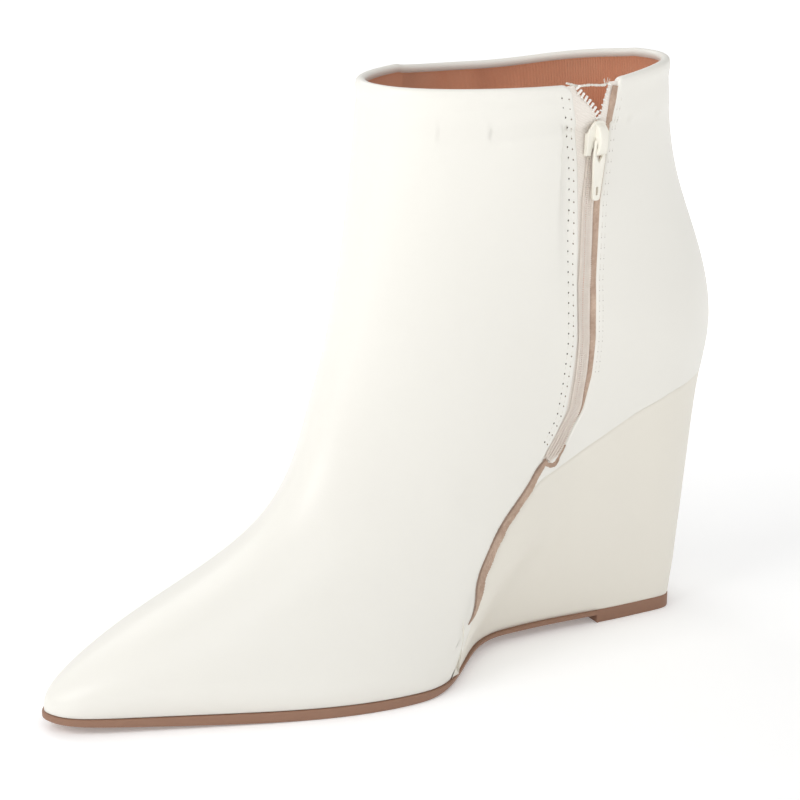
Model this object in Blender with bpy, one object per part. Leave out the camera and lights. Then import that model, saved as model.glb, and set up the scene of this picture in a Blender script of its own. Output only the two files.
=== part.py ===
import math

import bmesh
import bpy
import numpy as np
from mathutils import Matrix, Vector

# Driving sizes in millimetres. X runs to the toe, Y to the inner (medial) side, Z up.
# The origin is the centre of the heel tread's resting face.
MM = 0.001
FORM_HEIGHT = 196.0
SOLE_THICK = 3.3
LIFT_THICK = 4.8
BREAST_X = 17.0
BALL_X = 128.0
TIP_X = 216.0
BALL_WIDTH = 86.0
WAIST_RISE = 3.0
TOE_SPRING = 3.5
WALL = 1.9
GAP = 0.3
SEAM_GAP = 0.45
LAP = 0.5
INSOLE_THICK = 1.8
SOLE_MARGIN = 0.7
COLLAR_DROP = 3.6
COLLAR_BACK_DROP = 1.0
WAIST_LENGTH = 46.0
BALL_SLOPE = 44.0
SIDE_STEPS = 36
UPPER_ROWS = 24

# The tables hold shares: levels of FORM_HEIGHT, x of TIP_X and widths of BALL_WIDTH
# Level slices of the outer form: level, back x, front x
PROFILE = [(0, -.083, 1), (.031, -.085, .995), (.071, -.089, .954), (.128, -.094, .863),
           (.204, -.104, .722), (.306, -.113, .611), (.434, -.132, .556), (.51, -.148, .535),
           (.663, -.127, .502), (.816, -.076, .477), (1, -.056, .458)]
# Half widths: level, heel, waist medial, waist lateral, ball medial, ball lateral
WIDTHS = [(0, .212, .186, .244, .498, .453), (.031, .221, .208, .256, .512, .477),
          (.071, .233, .238, .279, .494, .488), (.128, .253, .279, .308, .456, .477),
          (.204, .285, .314, .326, .407, .43), (.306, .314, .326, .337, .36, .372),
          (.434, .337, .337, .349, .337, .349), (.51, .355, .349, .349, .343, .349),
          (.663, .36, .349, .355, .355, .355), (.816, .372, .366, .372, .384, .366),
          (1, .378, .407, .39, .407, .378)]
# Share of the slice at which the heel ends, and at which the ball is widest, medial and lateral
STATIONS = [(0, .07, .525, .48), (.031, .07, .525, .47), (.071, .075, .52, .46), (.128, .09, .52, .47),
            (.204, .125, .51, .48), (.306, .17, .52, .48), (.434, .24, .54, .52), (.51, .31, .55, .53),
            (.663, .44, .55, .55), (.816, .5, .53, .53), (1, .54, .52, .52)]
# Roundness: level, tail power, tail exponent, nose exponent, nose pull, centre line's y at the front
ROUND = [(0, 6.5, .55, .6, 1.4, .134), (.031, 6, .55, .6, 1.1, .134), (.071, 5, .5, .58, .65, .128),
         (.128, 3.8, .47, .56, .45, .122), (.204, 2.5, .45, .53, .15, .116),
         (.306, 2.3, .46, .52, .08, .081), (.434, 2.2, .47, .5, 0, .047), (.51, 2.2, .48, .5, 0, .047),
         (.663, 2.2, .5, .51, 0, .041), (.816, 2.2, .53, .52, 0, .017), (1, 2.2, .56, .54, 0, .006)]
NOSE_REACH = .985
NOSE_CAP = 50
# The outsole's thickness: x, share of SOLE_THICK
THICKNESS = [(-.1, .53), (.079, .53), (.26, .46), (.335, .34), (.39, .42), (.45, .86), (.51, 1), (.81, 1), (.93, .8),
             (1, .67)]

# The upper's lower edge: x, level. It is the feather line to .222, then the vamp's lapped edge
UPPER_EDGE = [(-.157, .449), (-.079, .439), (-.019, .426), (.046, .401), (.116, .365), (.171, .337),
              (.222, .316), (.25, .301), (.278, .276), (.315, .235), (.343, .189), (.361, .148),
              (.375, .102), (.389, .056), (.407, 0)]
# The insole's seat: x, level
SEAT = [(-.157, .454), (-.046, .439), (.046, .406), (.139, .36), (.231, .311), (.324, .25), (.417, .171),
        (.5, .089), (.565, .033), (.611, .008), (.671, .003), (1, .003)]
WEDGE_FRONT = 116.0
INSOLE_FRONT = 206.0
SEAT_BACK = -22.5

# The zip's slot on the medial side: level, front edge x, back edge x, chain centre x
SLOT = [(.362, .208, .189, .199), (.393, .191, .169, .18), (.423, .18, .152, .166),
        (.485, .173, .141, .16), (.551, .169, .138, .158), (.648, .172, .143, .162),
        (.791, .178, .139, .162), (.857, .181, .131, .156), (.923, .189, .123, .15),
        (.985, .204, .113, .15)]
# The teeth above the slider: share of the way up to the collar, then of the way to the slot's edges
OPEN_TEETH = [(0, .23, .33), (.36, .42, .4), (.68, .66, .47), (1, .83, .52)]
CHAIN_WIDE = 4.2
CHAIN_PROUD = 0.2
TOOTH_WIDE = 1.8
TAPE_THICK = 0.6
TAPE_DEPTH = 0.9
SLIDER_DROP = 21.0
TAPE_DROP = 5.0
SLIDER_WIDE = 8.4
SLIDER_LONG = 11.0
BRIDGE_WIDE = 2.0
BAR_OUT = 2.85
PULL_LONG = 20.0
PULL_WIDE = 4.4
PULL_THICK = 1.0


class Curve:
    """Natural cubic spline through the rows of a table."""

    def __init__(self, rows):
        rows = np.asarray(rows, float)
        self.x, self.y = rows[:, 0], rows[:, 1:]
        self.h = np.diff(self.x)
        n = len(self.x)
        a = np.eye(n)
        b = np.zeros((n, self.y.shape[1]))
        for i in range(1, n - 1):
            a[i, i - 1], a[i, i], a[i, i + 1] = self.h[i - 1], 2 * (self.h[i - 1] + self.h[i]), self.h[i]
            b[i] = 6 * ((self.y[i + 1] - self.y[i]) / self.h[i] - (self.y[i] - self.y[i - 1]) / self.h[i - 1])
        self.m = np.linalg.solve(a, b)

    def __call__(self, x):
        x = np.clip(np.asarray(x, float), self.x[0], self.x[-1])
        i = np.clip(np.searchsorted(self.x, x, side="right") - 1, 0, len(self.h) - 1)
        h = self.h[i][..., None]
        p = (self.x[i + 1] - x)[..., None] / h
        q = 1 - p
        bend = ((p ** 3 - p) * self.m[i] + (q ** 3 - q) * self.m[i + 1]) * h * h / 6
        return p * self.y[i] + q * self.y[i + 1] + bend


def scaled(rows, *units):
    return np.array(rows, float) * units


PROFILE_CURVE = Curve(scaled(PROFILE, FORM_HEIGHT, TIP_X, TIP_X))
WIDTH_CURVE = Curve(scaled(WIDTHS, FORM_HEIGHT, *[BALL_WIDTH] * 5))
STATION_CURVE = Curve(scaled(STATIONS, FORM_HEIGHT, 1, 1, 1))
ROUND_CURVE = Curve(scaled(ROUND, FORM_HEIGHT, 1, 1, 1, 1, BALL_WIDTH))
EDGE_ROWS = scaled(UPPER_EDGE, TIP_X, FORM_HEIGHT)
SEAT_ROWS = scaled(SEAT, TIP_X, FORM_HEIGHT)
SLOT_ROWS = scaled(SLOT, FORM_HEIGHT, TIP_X, TIP_X, TIP_X)
THICKNESS_CURVE = Curve(scaled(THICKNESS, TIP_X, SOLE_THICK))


def along(rows, x, column=1):
    return np.interp(x, rows[:, 0], rows[:, column])


def ease(t):
    t = np.clip(t, 0, 1)
    return t * t * t * (t * (6 * t - 15) + 10)


def sole_thickness(x):
    return THICKNESS_CURVE(x)[..., 0]


def underside(x):
    """Height of the outsole's lower face over the floor."""
    x = np.asarray(x, float)
    start = LIFT_THICK - THICKNESS[0][1] * SOLE_THICK
    rise = start + (WAIST_RISE - start) * ease((x - BREAST_X) / WAIST_LENGTH)
    arch = rise * (1 - ease((x - BREAST_X - WAIST_LENGTH) / BALL_SLOPE))
    spring = TOE_SPRING * np.clip((x - BALL_X) / (TIP_X - BALL_X), 0, 1.1) ** 2
    return np.where(x < BREAST_X, start, arch) + spring


def half_outline(s, level, side):
    """The form's y at the share s of its slice, counted from the back, medial (+1) or lateral (-1)."""
    heel, waist_m, waist_l, ball_m, ball_l = np.moveaxis(WIDTH_CURVE(level), -1, 0)
    s_heel, s_ball_m, s_ball_l = np.moveaxis(STATION_CURVE(level), -1, 0)
    tail_p, tail_q, nose_q, pull, y_front = np.moveaxis(ROUND_CURVE(level), -1, 0)
    medial = side > 0
    waist = np.where(medial, waist_m, waist_l)
    ball = np.where(medial, ball_m, ball_l)
    s_ball = np.where(medial, s_ball_m, s_ball_l)
    mid = (s_heel + s_ball) / 2
    w = np.where(s < mid, heel + (waist - heel) * ease((s - s_heel) / (mid - s_heel)),
                 waist + (ball - waist) * ease((s - mid) / (s_ball - mid)))
    nose = np.clip((s - s_ball) / (1 - s_ball), 0, 1)
    reach = nose * NOSE_REACH
    tail = np.clip((s_heel - s) / s_heel, 0, 1)
    w = w * ((1 - reach ** 2) ** nose_q - pull * reach ** 2 * (1 - reach)) * (1 - nose ** NOSE_CAP) ** .5
    w = w * (1 - tail ** tail_p) ** tail_q
    return y_front * np.clip(s, 0, 1) ** 1.2 + side * w


def lift_at(x, level):
    return (underside(x) + sole_thickness(x)) * (1 - np.asarray(level, float) / FORM_HEIGHT) ** 3


def on_skin(x, level, side):
    """The outer form's point at x on the slice of this level."""
    level = np.asarray(level, float) + 0 * np.asarray(x, float)
    back, front = np.moveaxis(PROFILE_CURVE(level), -1, 0)
    s = np.clip((x - back) / (front - back), 0, 1)
    return np.stack([back + (front - back) * s, half_outline(s, level, side), level + lift_at(x, level)], -1)


def spread(steps, ends=.2):
    """Shares from 0 to 1, closer together at both ends."""
    t = np.linspace(0, 1, steps + 1)
    c = 1 / (1 - ends)
    low = c * t ** 2 / (2 * ends)
    high = 1 - c * (1 - t) ** 2 / (2 * ends)
    return np.where(t < ends, low, np.where(t > 1 - ends, high, c * (t - ends / 2)))


SHARES = 1 - spread(SIDE_STEPS)
RING_SHARE = np.concatenate([SHARES, SHARES[-2:0:-1]])
RING_SIDE = np.concatenate([np.ones(SIDE_STEPS + 1), -np.ones(SIDE_STEPS - 1)])


def ring_between(level_of):
    """A closed ring of the skin whose level is a function of x, from the nose round by the medial side."""
    back, front = -.1 * TIP_X, .5 * TIP_X
    for _ in range(30):
        back = float(PROFILE_CURVE(level_of(back))[0])
        front = float(PROFILE_CURVE(level_of(front))[1])
    x = back + (front - back) * RING_SHARE
    return on_skin(x, level_of(x), RING_SIDE)


def collar_level(x):
    share = ease(.82 - np.asarray(x, float) / (TIP_X / 4))
    return FORM_HEIGHT - COLLAR_DROP + (COLLAR_DROP - COLLAR_BACK_DROP) * share


def grid_normals(grid):
    """Outward normals of a grid of rings, row after row upwards."""
    along_ring = np.roll(grid, -1, 1) - np.roll(grid, 1, 1)
    up = np.empty_like(grid)
    up[1:-1], up[0], up[-1] = grid[2:] - grid[:-2], grid[1] - grid[0], grid[-1] - grid[-2]
    n = np.cross(up, along_ring)
    n /= np.linalg.norm(n, axis=-1, keepdims=True)
    outward = grid - grid.mean(axis=1, keepdims=True)
    n *= np.sign((n * outward).sum(-1).mean(-1))[:, None, None]
    return n, up / np.linalg.norm(up, axis=-1, keepdims=True)


def edge_level(x):
    return np.maximum(along(EDGE_ROWS, x), GAP)


def shell_grids():
    """Rings of the upper's outer face, with their normals and upward directions."""
    rows = []
    for v in np.linspace(0, 1, UPPER_ROWS + 1):
        def level_of(x, g=v ** 1.55):
            return edge_level(x) + (collar_level(x) - edge_level(x)) * g

        rows.append(ring_between(level_of))
    grid = np.array(rows)
    normals, up = grid_normals(grid)
    flat = np.clip(np.arange(len(rows)) / 3, 0, 1)[:, None]
    normals[..., 2] *= flat
    normals /= np.linalg.norm(normals, axis=-1, keepdims=True)
    return grid, normals, up


def tube_mesh(outer, rim, inner):
    """Closed wall from its outer rings upwards, its rim and its inner rings downwards, every quad split
    along the way the lower edge slants, so that walls built on the same rings stay parallel."""
    loops = list(outer) + list(rim) + list(inner)
    count = len(loops[0])
    faces = []
    for i in range(len(loops)):
        k = (i + 1) % len(loops)
        rising = i < len(outer) or k == 0
        for j in range(count):
            m = (j + 1) % count
            a, b, c, d = i * count + j, i * count + m, k * count + m, k * count + j
            if rising == (j < count // 2):
                faces += [(a, b, d), (b, c, d)]
            else:
                faces += [(a, b, c), (a, c, d)]
    return np.concatenate(loops), faces


def capped_mesh(loops):
    """A loft of rings, its two ends closed by strips between the ring's halves, which mirror each other."""
    count = len(loops[0])
    verts = np.concatenate(loops)
    faces = []
    for i in range(len(loops) - 1):
        for j in range(count):
            m = (j + 1) % count
            faces.append((i * count + j, i * count + m, (i + 1) * count + m, (i + 1) * count + j))
    for base, flip in ((0, True), ((len(loops) - 1) * count, False)):
        half = count // 2
        for j in range(half - 1):
            quad = (base + j, base + j + 1, base + count - 2 - j, base + count - 1 - j)
            faces.append(quad[::-1] if flip else quad)
    return verts, faces


def material(name, colour, roughness, metallic=0.0):
    made = bpy.data.materials.new(name)
    made.use_nodes = True
    shader = made.node_tree.nodes["Principled BSDF"]
    shader.inputs["Base Color"].default_value = (*colour, 1)
    shader.inputs["Roughness"].default_value = roughness
    shader.inputs["Metallic"].default_value = metallic
    made.diffuse_color = (*colour, 1)
    return made


def add_solid(name, verts, faces, look, place=None, smooth_deg=35):
    """One named object; its vertices are in millimetres in the frame that place gives."""
    mesh = bpy.data.meshes.new(name)
    mesh.from_pydata([Vector(v) * MM for v in verts], [], faces)
    work = bmesh.new()
    work.from_mesh(mesh)
    bmesh.ops.remove_doubles(work, verts=work.verts, dist=1e-6)
    bmesh.ops.recalc_face_normals(work, faces=work.faces)
    if work.calc_volume(signed=True) < 0:
        bmesh.ops.reverse_faces(work, faces=work.faces)
    work.to_mesh(mesh)
    work.free()
    mesh.shade_smooth()
    mesh.set_sharp_from_angle(angle=math.radians(smooth_deg))
    obj = bpy.data.objects.new(name, mesh)
    bpy.context.scene.collection.objects.link(obj)
    if look is not None:
        mesh.materials.append(look)
    if place is not None:
        obj.matrix_world = place
    return obj


def cutter(obj):
    obj.hide_render = True
    obj.display_type = "WIRE"
    return obj


def boolean(obj, other, operation):
    step = obj.modifiers.new(operation.lower(), "BOOLEAN")
    step.operation = operation
    step.solver = "EXACT"
    step.object = other
    return step


def extruded(outline, low, high, axes=(0, 2, 1)):
    """A prism from a flat outline; axes says which axes hold the outline's two numbers and the height."""
    verts = []
    for h in (low, high):
        for a, b in outline:
            v = [0.0, 0.0, 0.0]
            v[axes[0]], v[axes[1]], v[axes[2]] = a, b, h
            verts.append(v)
    n = len(outline)
    faces = [tuple(range(n)), tuple(range(2 * n - 1, n - 1, -1))]
    faces += [(i, (i + 1) % n, n + (i + 1) % n, n + i) for i in range(n)]
    return verts, faces


def squared(rings, drop):
    """The rings with the lowest one at the height that the upper's edge has at each point's own x."""
    x = rings[0][:, 0]
    level = edge_level(x)
    step = .01 * TIP_X
    slope = (edge_level(x + step) - edge_level(x - step)) / (2 * step)
    rings[0][:, 2] = level + lift_at(x, level) - drop * np.hypot(1, slope)
    return rings


def build_upper(look):
    grid, normals, up = shell_grids()
    inner = squared(grid - normals * WALL, 0)
    half = WALL / 2
    middle = grid[-1] - normals[-1] * half
    rim = [middle + half * (math.cos(a) * normals[-1] + math.sin(a) * up[-1])
           for a in (math.pi / 4, math.pi / 2, 3 * math.pi / 4)]
    verts, faces = tube_mesh(grid, rim, inner[::-1])
    upper = add_solid("upper", verts, faces, look)
    levels = np.linspace(SLOT_ROWS[0, 0] + 3 * GAP, SLOT_ROWS[-1, 0], 24)
    edge, rear = ([(x, z + lift_at(x, z)) for x, z in zip(along(SLOT_ROWS, levels, c), levels)] for c in (1, 2))
    over = 1.04 * FORM_HEIGHT
    above = [(edge[-1][0], over), (rear[-1][0], over)]
    wide = edge[0][0] - rear[0][0]
    end = [(rear[0][0] + .2 * wide, rear[0][1] - .4 * wide), (rear[0][0] + .5 * wide, rear[0][1] - .55 * wide),
           (rear[0][0] + .85 * wide, rear[0][1] - .4 * wide)]
    verts, faces = extruded(edge + above + rear[::-1] + end, .15 * BALL_WIDTH, .62 * BALL_WIDTH)
    slot = cutter(add_solid("slot_cutter", verts, faces, None))
    boolean(upper, slot, "DIFFERENCE")
    return upper


def inset_ring(points, inset):
    """Moves a closed plan ring inwards by inset, level by level."""
    along_ring = np.roll(points, -1, 0) - np.roll(points, 1, 0)
    n = np.stack([along_ring[:, 1], -along_ring[:, 0]], -1)
    n /= np.linalg.norm(n, axis=-1, keepdims=True)
    centre = points[:, :2].mean(0)
    if ((points[:, :2] - centre) * n).sum() < 0:
        n = -n
    moved = points.copy()
    moved[:, :2] -= n * np.asarray(inset)[..., None]
    return moved


def two_sided(xs, level_of, inset=0.0):
    """A plan ring over the stations xs: medial side, then lateral side back again."""
    xs = np.asarray(xs, float)
    level = level_of(xs)
    ring = np.concatenate([on_skin(xs, level, np.ones_like(xs)), on_skin(xs[::-1], level[::-1], -np.ones_like(xs))])
    if np.any(np.asarray(inset)):
        ring = inset_ring(ring, np.broadcast_to(inset, (len(ring),)))
    return ring


def stations(front, level_of, steps):
    """Stations from front to the back of the ring, closer together at the back."""
    back = -.1 * TIP_X
    for _ in range(30):
        back = float(PROFILE_CURVE(level_of(back))[0])
    t = np.linspace(0, 1, steps + 1)
    return front + (back + GAP / 6 - front) * (1 - (1 - t) ** 1.7)


def build_wedge(look):
    rings = []
    rows = 9
    for k in range(rows + 1):
        def level_of(x, share=k / rows):
            return np.maximum(along(SEAT_ROWS, x) - GAP / 3, WALL / 2) * share

        xs = stations(WEDGE_FRONT, level_of, 28)
        ring = two_sided(xs, level_of)
        inset = np.interp(np.concatenate([xs, xs[::-1]]), (.046 * TIP_X, .21 * TIP_X), (.3 * LAP, LAP))
        ring = inset_ring(ring, inset)
        if k == 0:
            ring[:, 2] += GAP
        rings.append(ring)
    verts, faces = capped_mesh(rings)
    wedge = add_solid("wedge_heel", verts, faces, look)
    grid, normals, _ = (part[:12] for part in shell_grids())
    outer, inner = (squared(grid + normals * depth, SEAM_GAP) for depth in (1.26 * WALL, -WALL - 1.6 * GAP))
    verts, faces = tube_mesh(outer, [], inner[::-1])
    rebate = cutter(add_solid("rebate_cutter", verts, faces, None))
    boolean(wedge, rebate, "DIFFERENCE")
    return wedge


def build_outsole(look):
    xs = BREAST_X + GAP + (TIP_X - BREAST_X - GAP) * SHARES
    ring = two_sided(xs, lambda x: 0 * x)
    ring = inset_ring(ring, -SOLE_MARGIN)
    ring[:, 0] = np.maximum(ring[:, 0], BREAST_X + GAP)
    top, low = ring.copy(), ring.copy()
    top[:, 2] = underside(ring[:, 0]) + sole_thickness(ring[:, 0])
    low[:, 2] = underside(ring[:, 0])
    return add_solid("outsole", *capped_mesh([low, top]), look)


def build_top_lift(look):
    xs = stations(BREAST_X, lambda x: 0 * x, 12)
    ring = two_sided(xs, lambda x: 0 * x)
    low, top = ring.copy(), ring.copy()
    low[:, 2], top[:, 2] = 0, LIFT_THICK
    return add_solid("top_lift", *capped_mesh([low, top]), look)


def build_insole(look):
    front, back = INSOLE_FRONT, SEAT_BACK
    xs = front + (back - front) * spread(30, .12)
    rings = []
    for height in (GAP, GAP + INSOLE_THICK):
        ring = two_sided(xs, lambda x: along(SEAT_ROWS, x) + .78 * INSOLE_THICK, WALL + 3 * GAP)
        ring[:, 2] = along(SEAT_ROWS, ring[:, 0]) + lift_at(ring[:, 0], along(SEAT_ROWS, ring[:, 0])) + height
        rings.append(ring)
    return add_solid("insole", *capped_mesh(rings), look)


def wall_strip(name, rows, depth_out, depth_in, look, across=3):
    """A strip on the medial wall; rows are level, x low, x high; the depths are measured into the wall."""
    loops = []
    for level, x_low, x_high in rows:
        xs = np.linspace(x_low, x_high, across)
        outer = on_skin(xs, level, np.ones(across))
        section = []
        for points, depth in ((outer, depth_out), (outer[::-1], depth_in)):
            moved = points.copy()
            moved[:, 1] -= depth
            section.append(moved)
        loops.append(np.concatenate(section))
    return add_solid(name, *capped_mesh(loops), look)


def build_zip(tape_look, teeth_look, slider_look):
    slider_level = FORM_HEIGHT - SLIDER_DROP
    open_from = slider_level + SLIDER_LONG / 2 + 2 * GAP
    tape_top = FORM_HEIGHT - TAPE_DROP
    levels = list(np.linspace(SLOT_ROWS[0, 0] + 5 * GAP, slider_level, 15)) + list(np.linspace(open_from, tape_top, 4))

    def slot_x(level, column):
        return float(along(SLOT_ROWS, level, column))

    def centre(level):
        return slot_x(level, 3)

    def inner_edge(level, column):
        middle = centre(level)
        edge = slot_x(level, column)
        if level < open_from:
            return middle + math.copysign(GAP / 2, edge - middle)
        share = along(np.array(OPEN_TEETH), (level - open_from) / (tape_top - open_from), column)
        return middle + float(share) * (edge - middle)

    front = [(z, inner_edge(z, 1), slot_x(z, 1) - 1.9 * GAP) for z in levels]
    rear = [(z, slot_x(z, 2) + 1.9 * GAP, inner_edge(z, 2)) for z in levels]
    wall_strip("zip_tape_front", front, TAPE_DEPTH, TAPE_DEPTH + TAPE_THICK, tape_look)
    wall_strip("zip_tape_rear", rear, TAPE_DEPTH, TAPE_DEPTH + TAPE_THICK, tape_look)
    half = CHAIN_WIDE / 2
    closed = []
    for z in (z for z in levels if z <= slider_level):
        room = min(half, centre(z) - slot_x(z, 2) - GAP, slot_x(z, 1) - centre(z) - GAP)
        closed.append((z, centre(z) - room, centre(z) + room))
    wall_strip("zip_chain", closed, -CHAIN_PROUD, TAPE_DEPTH - GAP, teeth_look)
    for side, column in (("front", 1), ("rear", 2)):
        teeth = [(z, inner_edge(z, column) - TOOTH_WIDE / 2, inner_edge(z, column) + TOOTH_WIDE / 2)
                 for z in levels if z >= open_from]
        wall_strip(f"zip_teeth_{side}", teeth, -CHAIN_PROUD, TAPE_DEPTH - GAP, teeth_look, 2)

    def at(dx, dz):
        return Vector(on_skin(np.array([centre(slider_level) + dx]), slider_level + dz, np.ones(1))[0])

    reach = SLIDER_LONG / 2
    ahead = at(.2 * reach, 0) - at(-.2 * reach, 0)
    above = at(0, reach) - at(0, -reach)
    tangent = ahead.normalized()
    out = above.cross(ahead).normalized()
    out = out if out.y > 0 else -out
    up = out.cross(tangent)
    up = up if up.z > 0 else -up
    frame = Matrix((tangent, out, up)).transposed().to_4x4()
    frame.translation = at(0, 0) * MM

    # Body plate with its wings, the post between the open teeth, and the bridge for the pull
    w, h = SLIDER_WIDE / 2, SLIDER_LONG / 2
    outline = [(-w, h - 2.2), (-w + 1.6, h), (w - 1.6, h), (w, h - 2.2), (w - .5, -h + 2), (w - 1.6, -h), (-w + 1.6, -h),
               (-w + .5, -h + 2)]
    body = add_solid("zip_slider", *extruded(outline, .9, 2.1), slider_look, frame)
    arch = [(1.5, 4.2), (3.1, 3.8), (4.4, 2.4), (4.75, .8), (4.75, -1.0), (4.3, -2.6), (3.1, -3.6), (1.5, -3.8),
            (1.5, -2.0), (2.1, -2.0), (3.5, -1.7), (3.8, -.9), (3.8, .6), (3.5, 1.2), (2.1, 1.4), (1.5, 1.4)]
    verts, faces = extruded([(z, y) for y, z in arch], -BRIDGE_WIDE / 2, BRIDGE_WIDE / 2, (2, 1, 0))
    bridge = cutter(add_solid("bridge_form", verts, faces, None, frame))
    boolean(body, bridge, "UNION")

    # The pull hangs from the bridge: a plate with a window whose top bar lies under the bridge
    axis = frame @ Matrix.Translation(Vector((0, BAR_OUT, -.2)) * MM)
    p, t, low = PULL_WIDE / 2, PULL_THICK / 2, PULL_THICK / 2 - PULL_LONG
    plate = [(-p + .3, t), (p - .3, t), (p, t - .3), (p - .3, .45 * low), (p, low + 1.9), (p - .9, low),
             (-p + .9, low), (-p, low + 1.9), (-p + .3, .45 * low), (-p, t - .3)]
    pull = add_solid("zip_pull", *extruded(plate, -t, t), slider_look, axis)
    h_wide = .18 * PULL_WIDE
    slit = BRIDGE_WIDE / 2 + GAP
    window = [(-slit, -t), (slit, -t), (slit, .3 * low), (-slit, .3 * low)]
    hole = [(-h_wide, .67 * low), (h_wide, .67 * low), (h_wide, .87 * low), (-h_wide, .87 * low)]
    for number, shape in enumerate((window, hole)):
        verts, faces = extruded(shape, -3 * t, 3 * t)
        boolean(pull, cutter(add_solid(f"pull_window_{number}", verts, faces, None, axis)), "DIFFERENCE")
    return pull


def main():
    for obj in list(bpy.data.objects):
        bpy.data.objects.remove(obj, do_unlink=True)
    bpy.context.scene.unit_settings.system = "METRIC"
    leather = material("ivory_leather", (.83, .81, .74), .38)
    cover = material("ivory_wedge_cover", (.81, .78, .70), .40)
    tread = material("brown_sole", (.27, .15, .09), .55)
    board = material("salmon_insole", (.62, .33, .22), .8)
    tape = material("cream_tape", (.72, .60, .52), .8)
    teeth = material("cream_teeth", (.78, .68, .60), .5)
    enamel = material("cream_enamel", (.85, .82, .72), .3)
    build_upper(leather)
    build_wedge(cover)
    build_outsole(tread)
    build_top_lift(tread)
    build_insole(board)
    build_zip(tape, teeth, enamel)


main()
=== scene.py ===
import math

import bmesh
import bpy
import numpy as np
from mathutils import Matrix, Vector


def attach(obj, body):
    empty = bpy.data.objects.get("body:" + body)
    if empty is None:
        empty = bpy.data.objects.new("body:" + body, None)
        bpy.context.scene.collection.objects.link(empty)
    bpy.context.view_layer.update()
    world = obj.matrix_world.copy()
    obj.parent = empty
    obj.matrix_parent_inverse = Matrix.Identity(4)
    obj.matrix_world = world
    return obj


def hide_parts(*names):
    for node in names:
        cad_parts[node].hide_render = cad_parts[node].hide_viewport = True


mm = 0.001

print("boot: loading the packed frame")
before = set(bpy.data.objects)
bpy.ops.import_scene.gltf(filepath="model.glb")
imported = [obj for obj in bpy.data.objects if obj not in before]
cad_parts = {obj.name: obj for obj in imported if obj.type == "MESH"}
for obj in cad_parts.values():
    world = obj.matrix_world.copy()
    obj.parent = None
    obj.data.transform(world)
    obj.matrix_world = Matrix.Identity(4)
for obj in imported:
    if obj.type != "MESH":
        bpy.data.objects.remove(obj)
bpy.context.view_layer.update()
scene = bpy.context.scene
scene.view_settings.view_transform = "Standard"

# The last: the same sizes as the frame, in millimetres
lastForm = {
    "height": 196.0, "tip": 216.0, "ballWidth": 86.0, "soleThick": 3.3, "liftThick": 4.8,
    "breast": 17.0, "ball": 128.0, "waistRise": 3.0, "toeSpring": 3.5, "waistLength": 46.0,
    "ballSlope": 44.0, "collarDrop": 3.6, "backDrop": 1.0, "noseReach": .985, "noseCap": 50,
    "wall": 1.9, "gap": .3, "lap": .5,
    # level, back x, front x
    "profile": [(0, -.083, 1), (.031, -.085, .995), (.071, -.089, .954), (.128, -.094, .863),
                (.204, -.104, .722), (.306, -.113, .611), (.434, -.132, .556), (.51, -.148, .535),
                (.663, -.127, .502), (.816, -.076, .477), (1, -.056, .458)],
    # level, half widths at heel, waist medial, waist lateral, ball medial, ball lateral
    "widths": [(0, .212, .186, .244, .498, .453), (.031, .221, .208, .256, .512, .477),
               (.071, .233, .238, .279, .494, .488), (.128, .253, .279, .308, .456, .477),
               (.204, .285, .314, .326, .407, .43), (.306, .314, .326, .337, .36, .372),
               (.434, .337, .337, .349, .337, .349), (.51, .355, .349, .349, .343, .349),
               (.663, .36, .349, .355, .355, .355), (.816, .372, .366, .372, .384, .366),
               (1, .378, .407, .39, .407, .378)],
    # level, share of the slice at the heel's end, at the ball medial, at the ball lateral
    "stations": [(0, .07, .525, .48), (.031, .07, .525, .47), (.071, .075, .52, .46), (.128, .09, .52, .47),
                 (.204, .125, .51, .48), (.306, .17, .52, .48), (.434, .24, .54, .52),
                 (.51, .31, .55, .53), (.663, .44, .55, .55), (.816, .5, .53, .53), (1, .54, .52, .52)],
    # level, tail power, tail exponent, nose exponent, nose pull, centre line's y at the front
    "round": [(0, 6.5, .55, .6, 1.4, .134), (.031, 6, .55, .6, 1.1, .134), (.071, 5, .5, .58, .65, .128),
              (.128, 3.8, .47, .56, .45, .122), (.204, 2.5, .45, .53, .15, .116),
              (.306, 2.3, .46, .52, .08, .081), (.434, 2.2, .47, .5, 0, .047),
              (.51, 2.2, .48, .5, 0, .047), (.663, 2.2, .5, .51, 0, .041),
              (.816, 2.2, .53, .52, 0, .017), (1, 2.2, .56, .54, 0, .006)],
    # x, share of the outsole's thickness
    "thickness": [(-.1, .53), (.079, .53), (.26, .46), (.335, .34), (.39, .42), (.45, .86), (.51, 1),
                  (.81, 1), (.93, .8), (1, .67)],
    # x, level: the feather line, then the lapped edge of the vamp
    "edge": [(-.157, .449), (-.079, .439), (-.019, .426), (.046, .401), (.116, .365), (.171, .337),
             (.222, .316), (.25, .301), (.278, .276), (.315, .235), (.343, .189), (.361, .148),
             (.375, .102), (.389, .056), (.407, 0)],
    # x, level of the foot bed
    "seat": [(-.157, .454), (-.046, .439), (.046, .406), (.139, .36), (.231, .311), (.324, .25),
             (.417, .171), (.5, .089), (.565, .033), (.611, .008), (.671, .003), (1, .003)],
    # level, front x, rear x and coil x of the slot for the zip
    "slot": [(.342, .227, .209, .218), (.3485, .2245, .198, .2113), (.362, .2155, .186, .2007),
             (.379, .203, .1765, .19), (.4, .191, .1665, .1786), (.423, .18, .152, .166),
             (.485, .173, .141, .16), (.551, .169, .138, .158), (.648, .172, .143, .162),
             (.791, .178, .139, .162), (.857, .181, .131, .156), (.923, .189, .123, .15),
             (.985, .204, .113, .15)],
    # fine rows that the slot's table is read at, and the widths in rows of its two running means
    "slotSteps": 400, "slotSmooth": (5, 9),
}


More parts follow.
